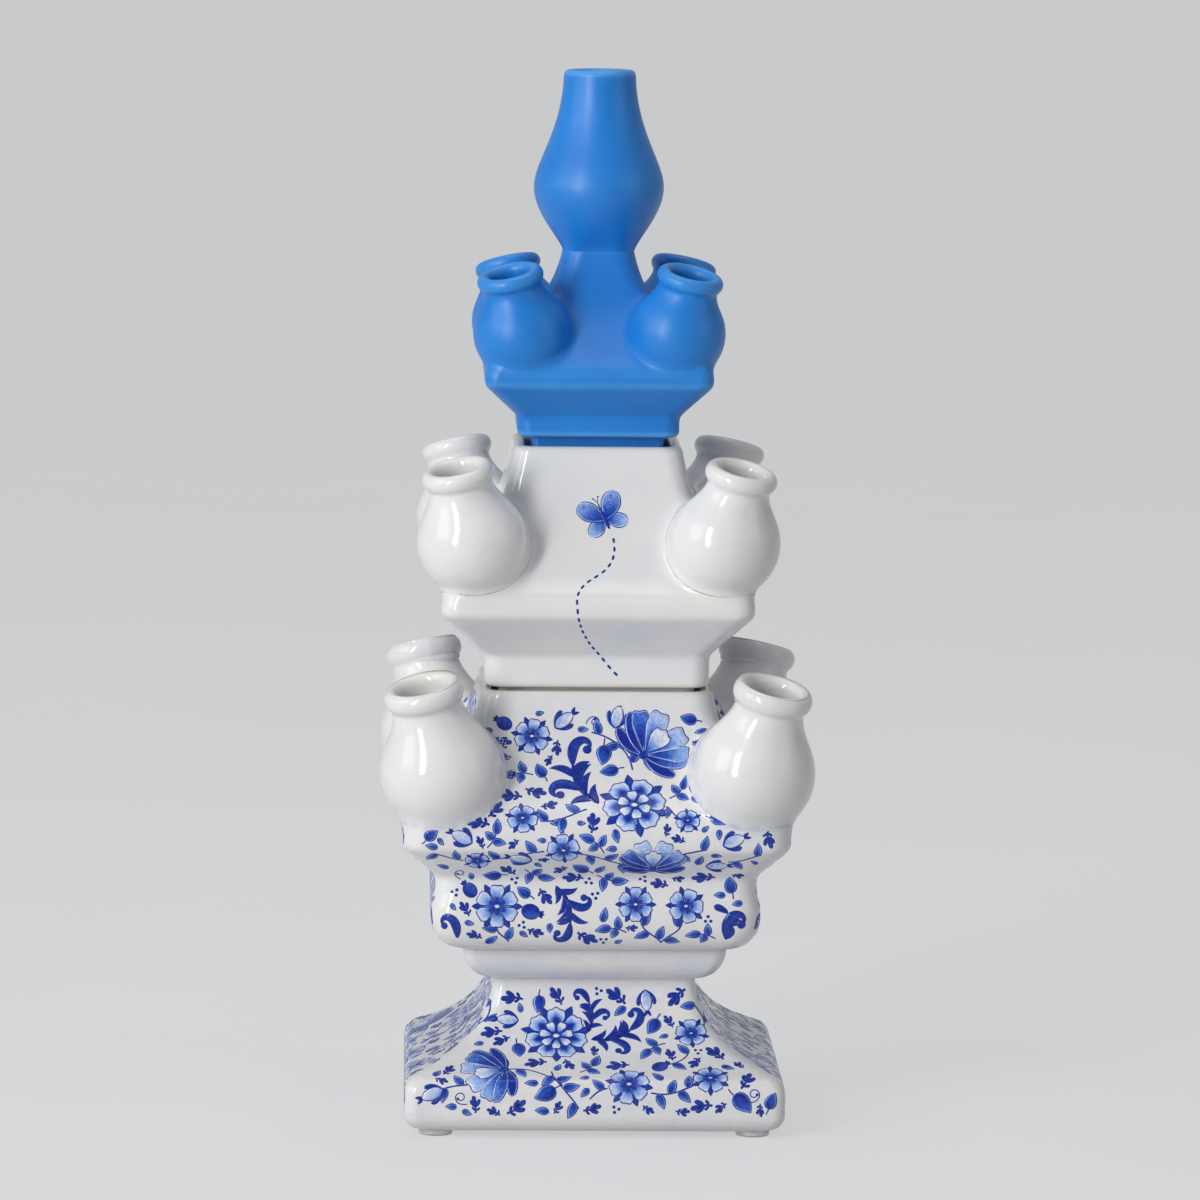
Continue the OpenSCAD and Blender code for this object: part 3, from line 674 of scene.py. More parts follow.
# Outline from the hollow's top down to the ring, then round the slab, up the sweep and over the cushion
def makeFoot(d):
    turn = math.radians(d["overTurn"])
    over = sweep(d["edge"] - d["overR"], d["slabTop"], d["overR"], 0, d["overTurn"])
    neck, cap = np.array(d["neck"]), np.array(d["cap"])
    reach = d["outPull"] * (over[-1][0] - neck[0])
    rise = bend(
        over[-1], over[-1] + reach * np.array([-math.sin(turn), math.cos(turn)]),
        neck - [0, d["upPull"] * d["sweepH"]], neck, d["riseRows"])
    a = np.linspace(0, np.pi / 2, d["capRows"])[1:]
    cushion = np.column_stack([
        neck[0] + (cap[0] - neck[0]) * np.sin(a), cap[1] - (cap[1] - neck[1]) * np.cos(a)])
    back = rise[::-1]
    back = back[(back[:, 0] - d["wall"] < d["ring"]) & (back[:, 1] < neck[1])] - [d["wall"], 0]
    shell, roof = neck[0] - d["wall"], cap[1] - make["floor"]
    hollow = np.vstack([[[make["pole"], roof], [shell, roof], [shell, neck[1]]], back, [[d["ring"], d["z"]]]])
    slab = sweep(d["edge"] - d["underR"], d["z"] + d["underR"], d["underR"], -90, 0)
    outer = np.vstack([slab, over, rise, cushion, [[make["pole"], cap[1]]]])
    outline = soften(withCorner(np.vstack([hollow, outer]), d["corner"]), d["blur"], d["rowGap"])
    places = squareColumns(d["sidePlaces"], make["cornerPlaces"])
    thin = np.repeat(thinness(outline, d["thinFull"]), len(places))
    makePiece(
        "lowerFoot", squareRings(outline, places), ringFaces(len(outline), len(places)), whiteGlaze,
        "lower_tier", ["lower_foot"], {"thin": thin, "haze": np.full(len(thin), d["bleed"])})
    d["outline"] = outline


makeFoot(foot)


# Nozzles of one tier: turned outline, leaning out along the diagonal, sunk a little and melted into the wall
def makePots(tierName, d, material, body):
    m, pot = potMaking, d["pot"]
    outline = soften(np.vstack(potOutline(pot)), m["blur"], m["rowGap"], softening["turnedTurn"])
    rings = turnedRings(outline, m["round"]).reshape(-1, 3)
    isOuter = np.repeat(np.arange(len(outline)) <= np.argmax(outline[:, 1]), m["round"])
    thin = np.repeat(thinness(outline, m["thinFull"]), m["round"])
    c, s = math.cos(potTilt), math.sin(potTilt)
    lean = np.array([[c, 0, s], [0, 1, 0], [-s, 0, c]])
    for corner, (side, face) in corners.items():
        turn = math.atan2(face, side)
        centre = np.array([side * pot["reach"], face * pot["reach"], pot["z"]])
        p = rings @ (spinOf(math.cos(turn), math.sin(turn)) @ lean).T + centre
        gap = wallGap(p, d)
        away = (p - centre) / np.maximum(np.linalg.norm(p - centre, axis=1), nearly)[:, None]
        pressed = p - away * (isOuter * m["sink"] * ease(0, 2 * m["sink"], -gap))[:, None]
        pressed = meltInto(p, pressed, gap, isOuter & (np.abs(potGap(p, d)) < melting["potSkin"]), d)
        haze = isOuter * np.exp(-(np.maximum(gap, 0) / m["hazeReach"]) ** 2) * d.get("potHaze", 0)
        makePiece(
            cornerName(tierName + "Nozzle", corner), pressed, ringFaces(len(outline), m["round"]), material,
            body, ["%s_nozzle_%s" % (tierName, corner)], {"thin": thin, "haze": haze})


makePots("lower", lower, whiteGlaze, "lower_tier")
makePots("middle", middle, whiteGlaze, "middle_tier")
makePots("top", top, blueGlaze, "top_tier")
print("nozzles turned")

# Bulb: gourd that leaves the square shaft, turns round as it swells and ends in a small open mouth
bulb = {
    "z": 322.97, "waist": 13.2, "corner": 8.0, "roundAt": 16.0, "tuck": (1.2, 1.6), "belly": (24.2, 23.5),
    "neck": 13.4, "mouth": 9.0, "height": 67.0, "wall": 3.6, "end": 8.2, "waistFlare": 1.2, "waistPull": 0.2,
    "underPull": 0.45, "overPull": 0.22, "neckPull": 0.5, "neckFlare": 0.5, "blur": 0.45, "rowGap": 1.6,
    "round": 128, "thinFull": 0.5}


# Reach of a rounded square along each direction: w over the cosine on the flat,
# e.c + root((e.c)^2 - c.c + r^2) on the corner
def squareReach(w, r, a):
    e = np.stack([np.abs(np.cos(a)), np.abs(np.sin(a))])
    c = w - r
    flat = w / e.max(0)
    along = c * e.sum(0)
    curved = along + np.sqrt(np.maximum(along ** 2 - 2 * c * c + r * r, 0))
    return np.where(flat * e.min(0) <= c, flat, curved)


# Outline up the outside and down the inside, its rings going from square to round below the belly
def makeBulb(d):
    belly = np.array(d["belly"])
    waist, end = np.array([d["waist"], 0.0]), np.array([d["end"], 0.0])
    r = (d["neck"] - d["mouth"]) / 2
    neck, mouth = np.array([d["neck"], d["height"] - r]), np.array([d["mouth"], d["height"] - r])
    upper = neck[1] - belly[1]
    under, over = np.array([0, d["underPull"] * belly[1]]), np.array([0, d["overPull"] * upper])
    drop = np.array([d["neckFlare"], -d["neckPull"] * upper])
    spread = np.array([d["waistFlare"], d["waistPull"] * belly[1]])
    inside = belly - [d["wall"], 0]
    outline = np.vstack([
        waist - d["tuck"], waist, bend(waist, waist + spread, belly - under, belly),
        bend(belly, belly + over, neck + drop, neck), sweep(d["mouth"] + r, neck[1], r, 8, 180, 24),
        bend(mouth, mouth + drop, inside + over, inside), bend(inside, inside - under, end + spread, end)])
    outline = soften(outline, d["blur"], d["rowGap"], softening["turnedTurn"]) + [0, d["z"]]
    rows, w, z = len(outline), outline[:, :1], outline[:, 1:]
    square = (d["waist"] - d["corner"]) * (1 - ease(0, d["roundAt"], z - d["z"]))
    below = (z < d["z"] + belly[1]) & (np.arange(rows)[:, None] < rows / 2)
    a = np.linspace(0, 2 * np.pi, d["round"], endpoint=False)
    reach = squareReach(w, np.where(below, w - square, w), a[None])
    rings = np.stack([reach * np.cos(a), reach * np.sin(a), np.broadcast_to(z, reach.shape)], -1)
    faces = ringFaces(rows, d["round"])[:-2]  # its two ends meet in one more row of faces instead
    i = np.arange(d["round"])
    j = (i + 1) % d["round"]
    last = (rows - 1) * d["round"]
    faces += np.column_stack([last + i, last + j, j, i]).tolist()
    thin = np.repeat(thinness(outline, d["thinFull"]), d["round"])
    makePiece("topBulb", rings, faces, blueGlaze, "top_tier", ["top_bulb"], {
        "thin": thin, "haze": np.zeros(len(thin))})


makeBulb(bulb)

# Bumper pads under the corners of the foot, domed a little at the edge
pad = {
    "r": 6.3, "h": 2.1, "reach": 58.5, "edge": 0.7, "taper": 0.15, "pole": 0.2, "blur": 0.15, "rowGap": 0.8,
    "round": 48}


# Turned outline: flat below, rounded edge, tapered side, flat above
def makePads(d):
    edge = sweep(d["r"] - d["edge"], d["edge"], d["edge"], -90, 0)
    outline = np.vstack([[[d["pole"], 0.0]], edge, [[d["r"] - d["taper"], d["h"]], [d["pole"], d["h"]]]])
    outline = soften(outline, d["blur"], d["rowGap"])
    rings = turnedRings(outline, d["round"]).reshape(-1, 3)
    for corner, (side, face) in corners.items():
        makePiece(
            cornerName("pad", corner), rings + [side * d["reach"], face * d["reach"], 0],
            ringFaces(len(outline), d["round"]), clearRubber, "lower_tier", ["pad_" + corner])


makePads(pad)
print("bulb and pads made")

# Print: least half width, height over the glaze and per layer, depth under it, cell and reach of the raster
# of free room, the room kept round drawn and filled-in shapes, how far a panel runs past its print, what is
# kept free at corners and nozzles, and the share of the blend where it ends under a nozzle
draw = {
    "leastHalf": 0.03, "proud": 0.045, "perLayer": 0.008, "under": 0.05, "cell": 0.4, "reach": 76,
    "room": 0.8, "fillRoom": 0.42, "past": 1.5, "cornerKept": 0.62, "fromPots": 1.2, "meltEnd": -0.3}
# Inks: tone at the base, at the tip, and added from one side to the other
ink = {
    "leaf": (1.05, 0.6, 0.24), "bigLeaf": (1.05, 0.7, 0.2), "gapTip": (0.95, 0.9, 0.05),
    "tip": (0.95, 0.9, 0), "comma": (0.95, 0.9, 0.06), "solid": (0.98, 0.9, 0.08), "rib": (0.98, 0.9, 0),
    "flame": (1.0, 0.95, 0.05), "bud": (0.3, 0.02, 0.12), "fruit": (0.98, 0.8, 0.18),
    "heart": (0.9, 0.9, 0), "eye": (0.1, 0.1, 0)}


# Line that turns as it runs: heading = angle + curl s^power, places by summing even steps
def curling(base, angle, length, curl=0.0, n=11, power=1.0):
    s = np.linspace(0, 1, n)
    heading = np.radians(angle + curl * s ** power)
    mean = (heading[1:] + heading[:-1]) / 2
    steps = np.column_stack([np.cos(mean), np.sin(mean)]) * length / (n - 1)
    return np.vstack([[0, 0], np.cumsum(steps, 0)]) + np.asarray(base, float), heading


# One printed shape: a grid of flat places with values on it
def shapeOf(uv, layer, **values):
    return {"uv": uv, "layer": layer, **{key: np.broadcast_to(v, uv.shape[:2]) for key, v in values.items()}}


# Blade: path(s) + q halfWidth(s) sideways; tone = tip + (base - tip) (1 - s)^fade + skew q
def blade(path, heading, half, shade, layer, nq=5, veins=0, veinWide=0.0, fade=1.0, pale=0.0):
    s, q = np.linspace(0, 1, len(path))[:, None], np.linspace(-1, 1, nq)[None]
    half = np.maximum(half, draw["leastHalf"])[:, None]
    side = np.column_stack([-np.sin(heading), np.cos(heading)])
    return shapeOf(
        path[:, None] + (half * q)[..., None] * side[:, None], layer,
        tone=shade[1] + (shade[0] - shade[1]) * (1 - s) ** fade + shade[2] * q, edge=half * (1 - np.abs(q)),
        phase=q * veins / 2 + 0.25, vein=veinWide * np.clip(1.15 - 1.5 * s, 0, 1), pale=pale)


# Pointed leaf: half width = 2.85 width s^0.6 (1 - s)^0.95, darker on one side of the midrib
def leaf(base, angle, length, width, curl=0.0, layer=1, shade=ink["leaf"], pale=0.6):
    path, heading = curling(base, angle, length, curl, 13)
    s = np.linspace(0, 1, len(path))
    half = width * 2.85 * s ** 0.6 * (1 - s) ** 0.95
    return blade(path, heading, half, shade, layer, veins=1.0, veinWide=0.07, fade=1.2, pale=pale)


# Blunt petal: half width = width (1/4 + 3/4 sin^1.2) up to its broadest place, then root(1 - s^5) at the tip
def flowerBlade(base, angle, length, width, curl, layer, shade, veins=5, n=17):
    path, heading = curling(base, angle, length, curl, n)
    s = np.linspace(0, 1, n)
    broad = np.sin(np.pi / 2 * np.minimum(s / 0.62, 1)) ** 1.2
    half = width * (0.25 + 0.75 * broad) * np.sqrt(np.maximum(1 - s ** 5, 0))
    return blade(path, heading, half, shade, layer, 7, veins, veinWide=0.14, fade=1.6, pale=0.9)


# Comma: a curled lobe that swells to a round end, half width = width (0.22 + 0.78 s^1.2) root(1 - s^7)
def comma(base, angle, length, width, curl, layer=1):
    path, heading = curling(base, angle, length, curl, 12, 1.4)
    s = np.linspace(0, 1, len(path))
    half = width * (0.22 + 0.78 * s ** 1.2) * np.sqrt(np.maximum(1 - s ** 7, 0))
    return blade(path, heading, half, ink["comma"], layer, 4)


# Oval: half width is the root of 1 - x^2 along its length
def oval(centre, angle, a, b, shade, layer=3, n=9, veins=0, veinWide=0.0):
    t = np.linspace(0, np.pi, n)
    path = np.asarray(centre, float) - np.cos(t)[:, None] * a * toward(angle)
    return blade(path, np.full(n, math.radians(angle)), b * np.sin(t), shade, layer, 5, veins, veinWide)


# Dot: a small round oval of one tone
def dot(centre, r, layer=3, tone=0.95):
    return oval(centre, 0, r, r, (tone, tone, 0), layer, 7)


# Ribbon along a path with an even half width
def ribbon(path, heading, half, tone=0.72, layer=0):
    return blade(path, heading, np.full(len(path), half), (tone, tone, 0), layer, 2)


# Stem: cubic curve between two places, leaving and arriving at given angles
def stem(start, out, stop, into, pull=0.38, n=22):
    start, stop = np.asarray(start, float), np.asarray(stop, float)
    reach = np.linalg.norm(stop - start) * pull
    path = np.vstack([start, bend(start, start + reach * toward(out), stop - reach * toward(into), stop, n)])
    d = np.gradient(path, axis=0)
    return path, np.unwrap(np.arctan2(d[:, 1], d[:, 0]))


leafWide = 0.27  # width of a common leaf as a share of its length
stemMaking = {"half": 0.3, "span": (0.18, 0.88), "turn": 48, "curl": 22}


# Stem with leaves set alternately along it
def leafyStem(start, out, stop, into, leaves, size):
    path, heading = stem(start, out, stop, into)
    shapes = [ribbon(path, heading, stemMaking["half"])]
    for k, s in enumerate(np.linspace(*stemMaking["span"], leaves)):
        i, hand = int(s * (len(path) - 1)), (1 if k % 2 else -1)
        angle = math.degrees(heading[i]) + hand * stemMaking["turn"]
        shapes.append(leaf(path[i], angle, size, size * leafWide, hand * stemMaking["curl"]))
    return shapes


# Petal of a rosette: fan of angle, radius from the heart to a rim that rounds off and dips between its lobes
def petal(
        centre, angle, r0, r1, halfAngle, layer, shade, dip=0.06, nq=9, ns=9, veins=6, lobes=2, spot=0.0,
        pale=0.0):
    s, q = np.linspace(0, 1, ns)[:, None], np.linspace(-1, 1, nq)[None]
    wave = np.cos(2 * np.pi * q) if lobes == 2 else -np.cos(3 * np.pi * q) * (np.abs(q) < 0.95)
    rim = r1 * (1 - 0.3 * np.abs(q) ** 3 - dip / 2 * (1 + wave))
    radius = r0 + s * (rim - r0)
    a = np.radians(angle + halfAngle * q + 0 * s)
    tone = shade[1] + (shade[0] - shade[1]) * (1 - s) ** 1.9 + shade[2] * q
    across = radius * math.radians(halfAngle) * (1 - np.abs(q))
    return shapeOf(
        np.asarray(centre, float) + np.stack([radius * np.cos(a), radius * np.sin(a)], -1), layer,
        tone=tone + spot * np.exp(-((s - 0.5) / 0.17) ** 2 - (q / 0.55) ** 2),
        edge=np.minimum(across, rim - radius), phase=q * veins / 2 + 0.25,
        vein=0.17 * np.clip(1.0 - 1.7 * s, 0, 1), pale=pale)


# Petals of the rosettes, and shares of their size: heart, inner ring, dark tips in the gaps, stamens
singlePetal = {"shade": (1.05, 0.12, 0.05)}
doublePetal = {"shade": (1.2, 0.12, 0.05), "nq": 17, "lobes": 3, "spot": 0.75}
innerPetal = {"shade": (0.6, 0.0, 0.04), "ns": 5}
rosetteMaking = {
    "root": 0.16, "fill": 0.97, "innerRoot": 0.14, "innerReach": 0.56, "innerFill": 0.9, "tipAt": 0.55,
    "tip": (0.58, 0.16), "heart": 0.2, "doubleHeart": 0.17, "eye": 0.62, "stamenAt": 1.75,
    "stamen": (0.045, 0.12)}


# Rosette: outer petals with dark tips in their gaps, an inner ring for a double flower, heart and stamens
def rosette(centre, size, n=5, turn=90.0, double=False):
    c, half, m = np.asarray(centre, float), 180.0 / n, rosetteMaking
    angles = turn + np.arange(n) * 360.0 / n
    tipLong, tipWide = (size * share for share in m["tip"])
    shapes = []
    for a in angles:
        tipAt = c + toward(a + half) * size * m["tipAt"]
        shapes.append(leaf(tipAt, a + half, tipLong, tipWide, shade=ink["gapTip"], pale=0))
        shapes.append(petal(c, a, size * m["root"], size, half * m["fill"], 2, **(
            doublePetal if double else singlePetal)))
    if double:
        shapes += [petal(
            c, a, size * m["innerRoot"], size * m["innerReach"], half * m["innerFill"], 4, **innerPetal)
            for a in angles + half]
    heart = size * m["doubleHeart" if double else "heart"]
    eye = heart * m["eye"]
    shapes += [oval(c, 0, heart, heart, ink["heart"], 6), oval(c, 0, eye, eye, ink["eye"], 7)]
    share, least = m["stamen"]
    return shapes + [dot(c + heart * m["stamenAt"] * toward(a), size * share + least, 6) for a in angles]


# Blades and petals of the side flower on each hand: turn, length, half width or half angle, curl or dip,
# layer, the ink on the near and on the far hand, and for a petal the strength of its spot
fanBlades = (
    (100, 0.82, 0.15, 34, 2, (1.3, 1.0, 0.1), (1.3, 1.0, 0.1)),
    (70, 0.98, 0.17, 24, 3, (1.25, 0.85, 0.1), (1.25, 0.5, 0.1)))
fanPetals = (
    (46, 1.0, 17, 0.05, 4, (1.2, 0.6, 0.0), (1.2, 0.3, 0.0), 0.2),
    (19, 1.04, 19, 0.06, 5, (1.0, 0.2, 0.0), (1.0, 0.2, 0.0), 0.3))
fanMaking = {"root": 0.05, "calyx": (128, 0.46, 0.1, 80), "front": (0.74, 25), "heart": 0.09}
frontPetal = {"shade": (0.9, 0.0, 0.05), "dip": 0.07, "nq": 17, "veins": 7, "lobes": 3}


# Flower seen from the side: slim dark petals outside, broad ones within, a pale one in front, dark calyx
def fanFlower(base, angle, size, hand=1):
    shapes, root = [], size * fanMaking["root"]
    for sign in (-1, 1):
        for turn, length, wide, curl, layer, near, far in fanBlades:
            shapes.append(flowerBlade(
                base, angle + sign * turn, size * length, size * wide, -sign * curl, layer,
                near if sign == hand else far))
        for turn, length, halfAngle, dip, layer, near, far, spot in fanPetals:
            shapes.append(petal(
                base, angle + sign * turn, root, size * length, halfAngle, layer,
                near if sign == hand else far, dip, nq=13, veins=5, spot=spot, pale=0.9))
        turn, length, wide, curl = fanMaking["calyx"]
        shapes.append(comma(base, angle + sign * turn, size * length, size * wide, -sign * curl))
    reach, halfAngle = fanMaking["front"]
    shapes.append(petal(base, angle, root, size * reach, halfAngle, 6, **frontPetal))
    return shapes + [dot(base, size * fanMaking["heart"], 7)]


# Tulip bud: pale oval between two dark sepals, with a small tip; lengths are shares of its size
def bud(base, angle, size):
    b, ahead = np.asarray(base, float), toward(angle) * size
    shapes = [oval(
        b + ahead * 0.5, angle, size * 0.48, size * 0.29, ink["bud"], 2, 11, veins=6, veinWide=0.12)]
    for sign in (-1, 1):
        shapes.append(comma(b, angle + sign * 58, size * 0.88, size * 0.13, -sign * 78, 3))
        shapes.append(leaf(
            b + ahead * 0.95, angle + sign * 26, size * 0.36, size * 0.08, shade=ink["tip"], pale=0))
    return shapes


# Solid fruit with a light side and three leaf tips; lengths are shares of its size
def fruit(base, angle, size):
    b, ahead = np.asarray(base, float), toward(angle) * size
    shapes = [oval(
        b + ahead * 0.55, angle, size * 0.55, size * 0.46, ink["fruit"], 2, 11, veins=7, veinWide=0.1)]
    return shapes + [
        leaf(b + ahead * 1.05, angle + turn, size * 0.34, size * 0.1, shade=ink["tip"], pale=0)
        for turn in (-40, 0, 40)]


# Crozier: a blade that swells and rolls up on a ball, half width = size (0.03 + 0.115 sin^1.2(pi s^0.75))
def crozier(base, angle, size, hand, layer=2):
    path, heading = curling(base, angle, size * 1.25, hand * 250, 26, 2.6)
    s = np.linspace(0, 1, len(path))
    half = size * (0.03 + 0.115 * np.sin(np.pi * s ** 0.75) ** 1.2)
    return [blade(path, heading, half, ink["solid"], layer, 4), dot(path[-1], size * 0.12, layer + 1)]


# Lobe: a plump solid blade, half width = 1.15 wide root(s) root(1 - s^3)
def lobe(base, angle, length, curl, wide=leafWide):
    path, heading = curling(base, angle, length, curl, 9)
    s = np.linspace(0, 1, len(path))
    half = length * wide * 1.15 * np.sqrt(s + 0.02) * np.sqrt(np.maximum(1 - s ** 3, 0))
    return [blade(path, heading, half, ink["solid"], 1, 4)]


# Sprig: a short bent rib with pairs of dark lobes (row, turn, length, width) and one at its end
sprigLobes = ((2, 62, 0.34, 0.28), (5, 44, 0.56, 0.28))
sprigEnd = (0.58, 0.29)


# Lobes leave the rib at their rows by plus and minus their turn
def sprig(base, angle, size):
    path, heading = curling(base, angle, size * 0.55, 26, 8)
    way = np.degrees(heading)
    shapes = [ribbon(path, heading, size * 0.06, 0.9)]
    for i, turn, long, wide in sprigLobes:
        for sign in (-1, 1):
            shapes += lobe(path[i], way[i] + sign * turn, size * long, -sign * 30, wide)
    return shapes + lobe(path[-1], way[-1], size * sprigEnd[0], 0, sprigEnd[1])


# Scrolled leaf: a bent rib that ends in one crozier and throws a second the other way, with flames that
# leave it nearly along its run and bend outwards; a flame is row, turn and length
flames = ((0, 14, 0.36), (3, -14, 0.36), (7, 14, 0.42), (13, 16, 0.42), (18, 20, 0.34), (17, -14, 0.42))
scrollMaking = {
    "rib": 0.76, "curl": 60, "rows": 24, "thin": 0.02, "swell": 0.02, "crozier": 0.54, "endTurn": 4,
    "throwAt": 10, "throwTurn": 28, "flameWide": 0.06, "flameCurl": 78}


# Half width of the rib = size (thin + swell sin(pi s))
def scroll(base, angle, size, hand=1):
    m = scrollMaking
    path, heading = curling(base, angle, size * m["rib"], hand * m["curl"], m["rows"])
    way, i = np.degrees(heading), m["throwAt"]
    swell = np.sin(np.pi * np.linspace(0, 1, len(path)))
    shapes = [blade(path, heading, size * (m["thin"] + m["swell"] * swell), ink["rib"], 1, 3)]
    shapes += crozier(path[-1], way[-1] - hand * m["endTurn"], size * m["crozier"], hand)
    shapes += crozier(path[i], way[i] - hand * m["throwTurn"], size * m["crozier"], -hand)
    for i, turn, long in flames:
        shapes.append(leaf(
            path[i], way[i] + hand * turn, size * long, size * m["flameWide"],
            hand * np.sign(turn) * m["flameCurl"], shade=ink["flame"], pale=0))
    return shapes


stalkHalf = 0.26  # half width of a short stalk


# Single large leaf on a short stalk, which is a share of the leaf's size
def bigLeaf(base, angle, size):
    path, heading = curling(base, angle, size * 0.3, 25, 8)
    broad = leaf(path[-1], angle + 25, size, size * 0.34, -18, shade=ink["bigLeaf"])
    return [ribbon(path, heading, stalkHalf), broad]


# Thin spiral with a dot at its end
def tendril(base, angle, length, curl):
    path, heading = curling(base, angle, length, curl, 30, 1.6)
    return [ribbon(path, heading, 0.2, 0.75), dot(path[-1], 0.55)]


# Three leaves on a short stalk: row, turn, length, width and curl
pairLeaves = ((8, 34, 1.0, 0.27, 18), (4, -42, 0.82, 0.25, -18), (5, 84, 0.7, 0.24, 20))


# Leaves leave the stalk at their rows by their turn
def leafPair(base, angle, size):
    path, heading = curling(base, angle, size * 0.9, 30, 9)
    return [ribbon(path, heading, stalkHalf)] + [
        leaf(path[i], angle + turn, size * long, size * wide, curl)
        for i, turn, long, wide, curl in pairLeaves]


# Loose leaf without a stalk
def looseLeaf(base, angle, size):
    return [leaf(base, angle, size, size * leafWide, 20)]


# Smaller and plumper loose leaf
def smallLeaf(base, angle, size):
    return [leaf(base, angle, size, size * 0.29, 24)]


# Three dots on a small triangle
def threeDots(centre, angle, size):
    c = np.asarray(centre, float)
    return [dot(c + 1.15 * toward(angle + turn), 0.62) for turn in (0, 120, 240)]  # always one size


# Panel: the outline's outer part by length, from the first row past a half width, with a raster of free room
def startPanel(outline, zLow, zHigh, wide, corner, d=None):
    part = outline[np.argmax(outline[:, 0] > wide):]
    part = part[:np.argmax(part[:, 1] > zHigh + draw["past"])]
    run = runOf(part)
    panel = {"w": part[:, 0], "z": part[:, 1], "run": run, "corner": corner, "tier": d, "shapes": []}
    low, high = np.interp([zLow, zHigh], part[:, 1], run)
    c = draw["cell"]
    u, v = np.arange(-draw["reach"], draw["reach"], c) + c / 2, np.arange(0, run[-1], c) + c / 2
    uv = np.stack(np.meshgrid(u, v, indexing="ij"), -1)
    half = np.interp(uv[..., 1], run, part[:, 0]) - draw["cornerKept"] * corner
    free = (np.abs(uv[..., 0]) < half) & (uv[..., 1] > low) & (uv[..., 1] < high)
    if d is not None:
        free &= potGap(layOn(uv.reshape(-1, 2), panel)[0], d).reshape(free.shape) > draw["fromPots"]
    panel["free"] = free
    return panel


# Lays flat places on the front side: u along the face and round its corner, v up the outline, then melted
# as the body is; gives places and the directions that point out of the glaze
def layOn(uv, panel):
    u, v, run = uv[:, 0], uv[:, 1], panel["run"]
    w, z = np.interp(v, run, panel["w"]), np.interp(v, run, panel["z"])
    dw, dz = (np.interp(v, run, np.gradient(panel[k], run)) for k in ("w", "z"))
    r = panel["corner"]
    flat = w - r
    a = np.clip((np.abs(u) - flat) / r, 0, np.pi / 2)
    x = np.sign(u) * (np.minimum(np.abs(u), flat) + r * np.sin(a))
    p = np.column_stack([x, -(flat + r * np.cos(a)), z])
    normal = np.column_stack([np.sign(u) * np.sin(a) * dz, -np.cos(a) * dz, -dw])
    d = panel["tier"]
    if d is not None:
        gap = potGap(p, d)
        near = (gap < d["melt"]) & (gap > draw["meltEnd"] * d["melt"]) & (z > d["skinStart"])
        p[near] = meltOnto(p[near], d, 0)
        normal[near] = gapSlope(meltGap, p[near], d)
    return p, normal / np.linalg.norm(normal, axis=1)[:, None]


# Cells of a panel's raster, kept inside it
def cellsOf(panel, i, j):
    wide, high = panel["free"].shape
    return np.clip(i, 0, wide - 1), np.clip(j, 0, high - 1)


# Cells under the points of a shape
def cellsUnder(panel, shape):
    uv = shape["uv"].reshape(-1, 2)
    return cellsOf(panel, *((uv + [draw["reach"], 0]) / draw["cell"]).astype(int).T)


# Takes shapes into a panel and marks the room round them as used
def addShapes(panel, shapes, room):
    k = int(room / draw["cell"]) + 1
    di, dj = np.meshgrid(np.arange(-k, k + 1), np.arange(-k, k + 1), indexing="ij")
    disc = np.hypot(di, dj) * draw["cell"] <= room
    for shape in shapes:
        i, j = cellsUnder(panel, shape)
        panel["free"][cellsOf(panel, i[:, None] + di[disc], j[:, None] + dj[disc])] = False
    panel["shapes"] += shapes


# Fills free room: each kind is tried at free places picked by a fixed random order
def fillPanel(panel, kinds, seed):
    rng = np.random.default_rng(seed)
    for build, tries, low, high in kinds:
        for _ in range(tries):
            spots = np.flatnonzero(panel["free"])
            if not len(spots):
                return
            i, j = np.unravel_index(rng.choice(spots), panel["free"].shape)
            base = np.array([i, j]) * draw["cell"] - [draw["reach"], 0]
            shapes = build(base, rng.uniform(0, 360), rng.uniform(low, high))
            if all(panel["free"][cellsUnder(panel, s)].all() for s in shapes):
                addShapes(panel, shapes, draw["fillRoom"])


# Map of the shapes: each has its own room on a square sheet, in shelves filled from the tallest shape down
def packSheet(shapes, apart=1.0, spare=1.12):
    flats = [s["uv"].reshape(-1, 2) for s in shapes]
    boxes = [np.ptp(flat, axis=0) for flat in flats]
    sheet = math.sqrt(sum((w + apart) * (h + apart) for w, h in boxes)) * spare
    x = y = shelf = 0.0
    home = {}
    for k in sorted(range(len(shapes)), key=lambda n: -boxes[n][1]):
        w, h = boxes[k]
        if x + w + apart > sheet:
            x, y, shelf = 0.0, y + shelf + apart, 0.0
        home[k] = np.array([x, y])
        x, shelf = x + w + apart, max(shelf, h)
    placed = [flat - flat.min(0) + home[k] + apart / 2 for k, flat in enumerate(flats)]
    return np.vstack(placed) / max(sheet, y + shelf + apart)


# Faces of a shape's grid from a first point on: skin, underside and walls, turned so that the skin faces out
def filmFaces(shape, start, total):
    uv = shape["uv"]
    g = start + np.arange(shape["tone"].size).reshape(shape["tone"].shape)
    skin = np.stack([g[:-1, :-1], g[:-1, 1:], g[1:, 1:], g[1:, :-1]], -1).reshape(-1, 4)
    rim = np.concatenate([g[0, :-1], g[:-1, -1], g[-1, :0:-1], g[:0:-1, 0]])
    after = np.roll(rim, -1)
    walls = np.column_stack([rim + total, after + total, after, rim])
    block = np.vstack([skin, skin[:, ::-1] + total, walls])
    half = len(g) // 2
    across = uv[half, -1] - uv[half, 0]
    ahead = uv[min(half + 1, len(g) - 1)].mean(0) - uv[half].mean(0)
    return block if across[0] * ahead[1] - across[1] * ahead[0] > 0 else block[:, ::-1]


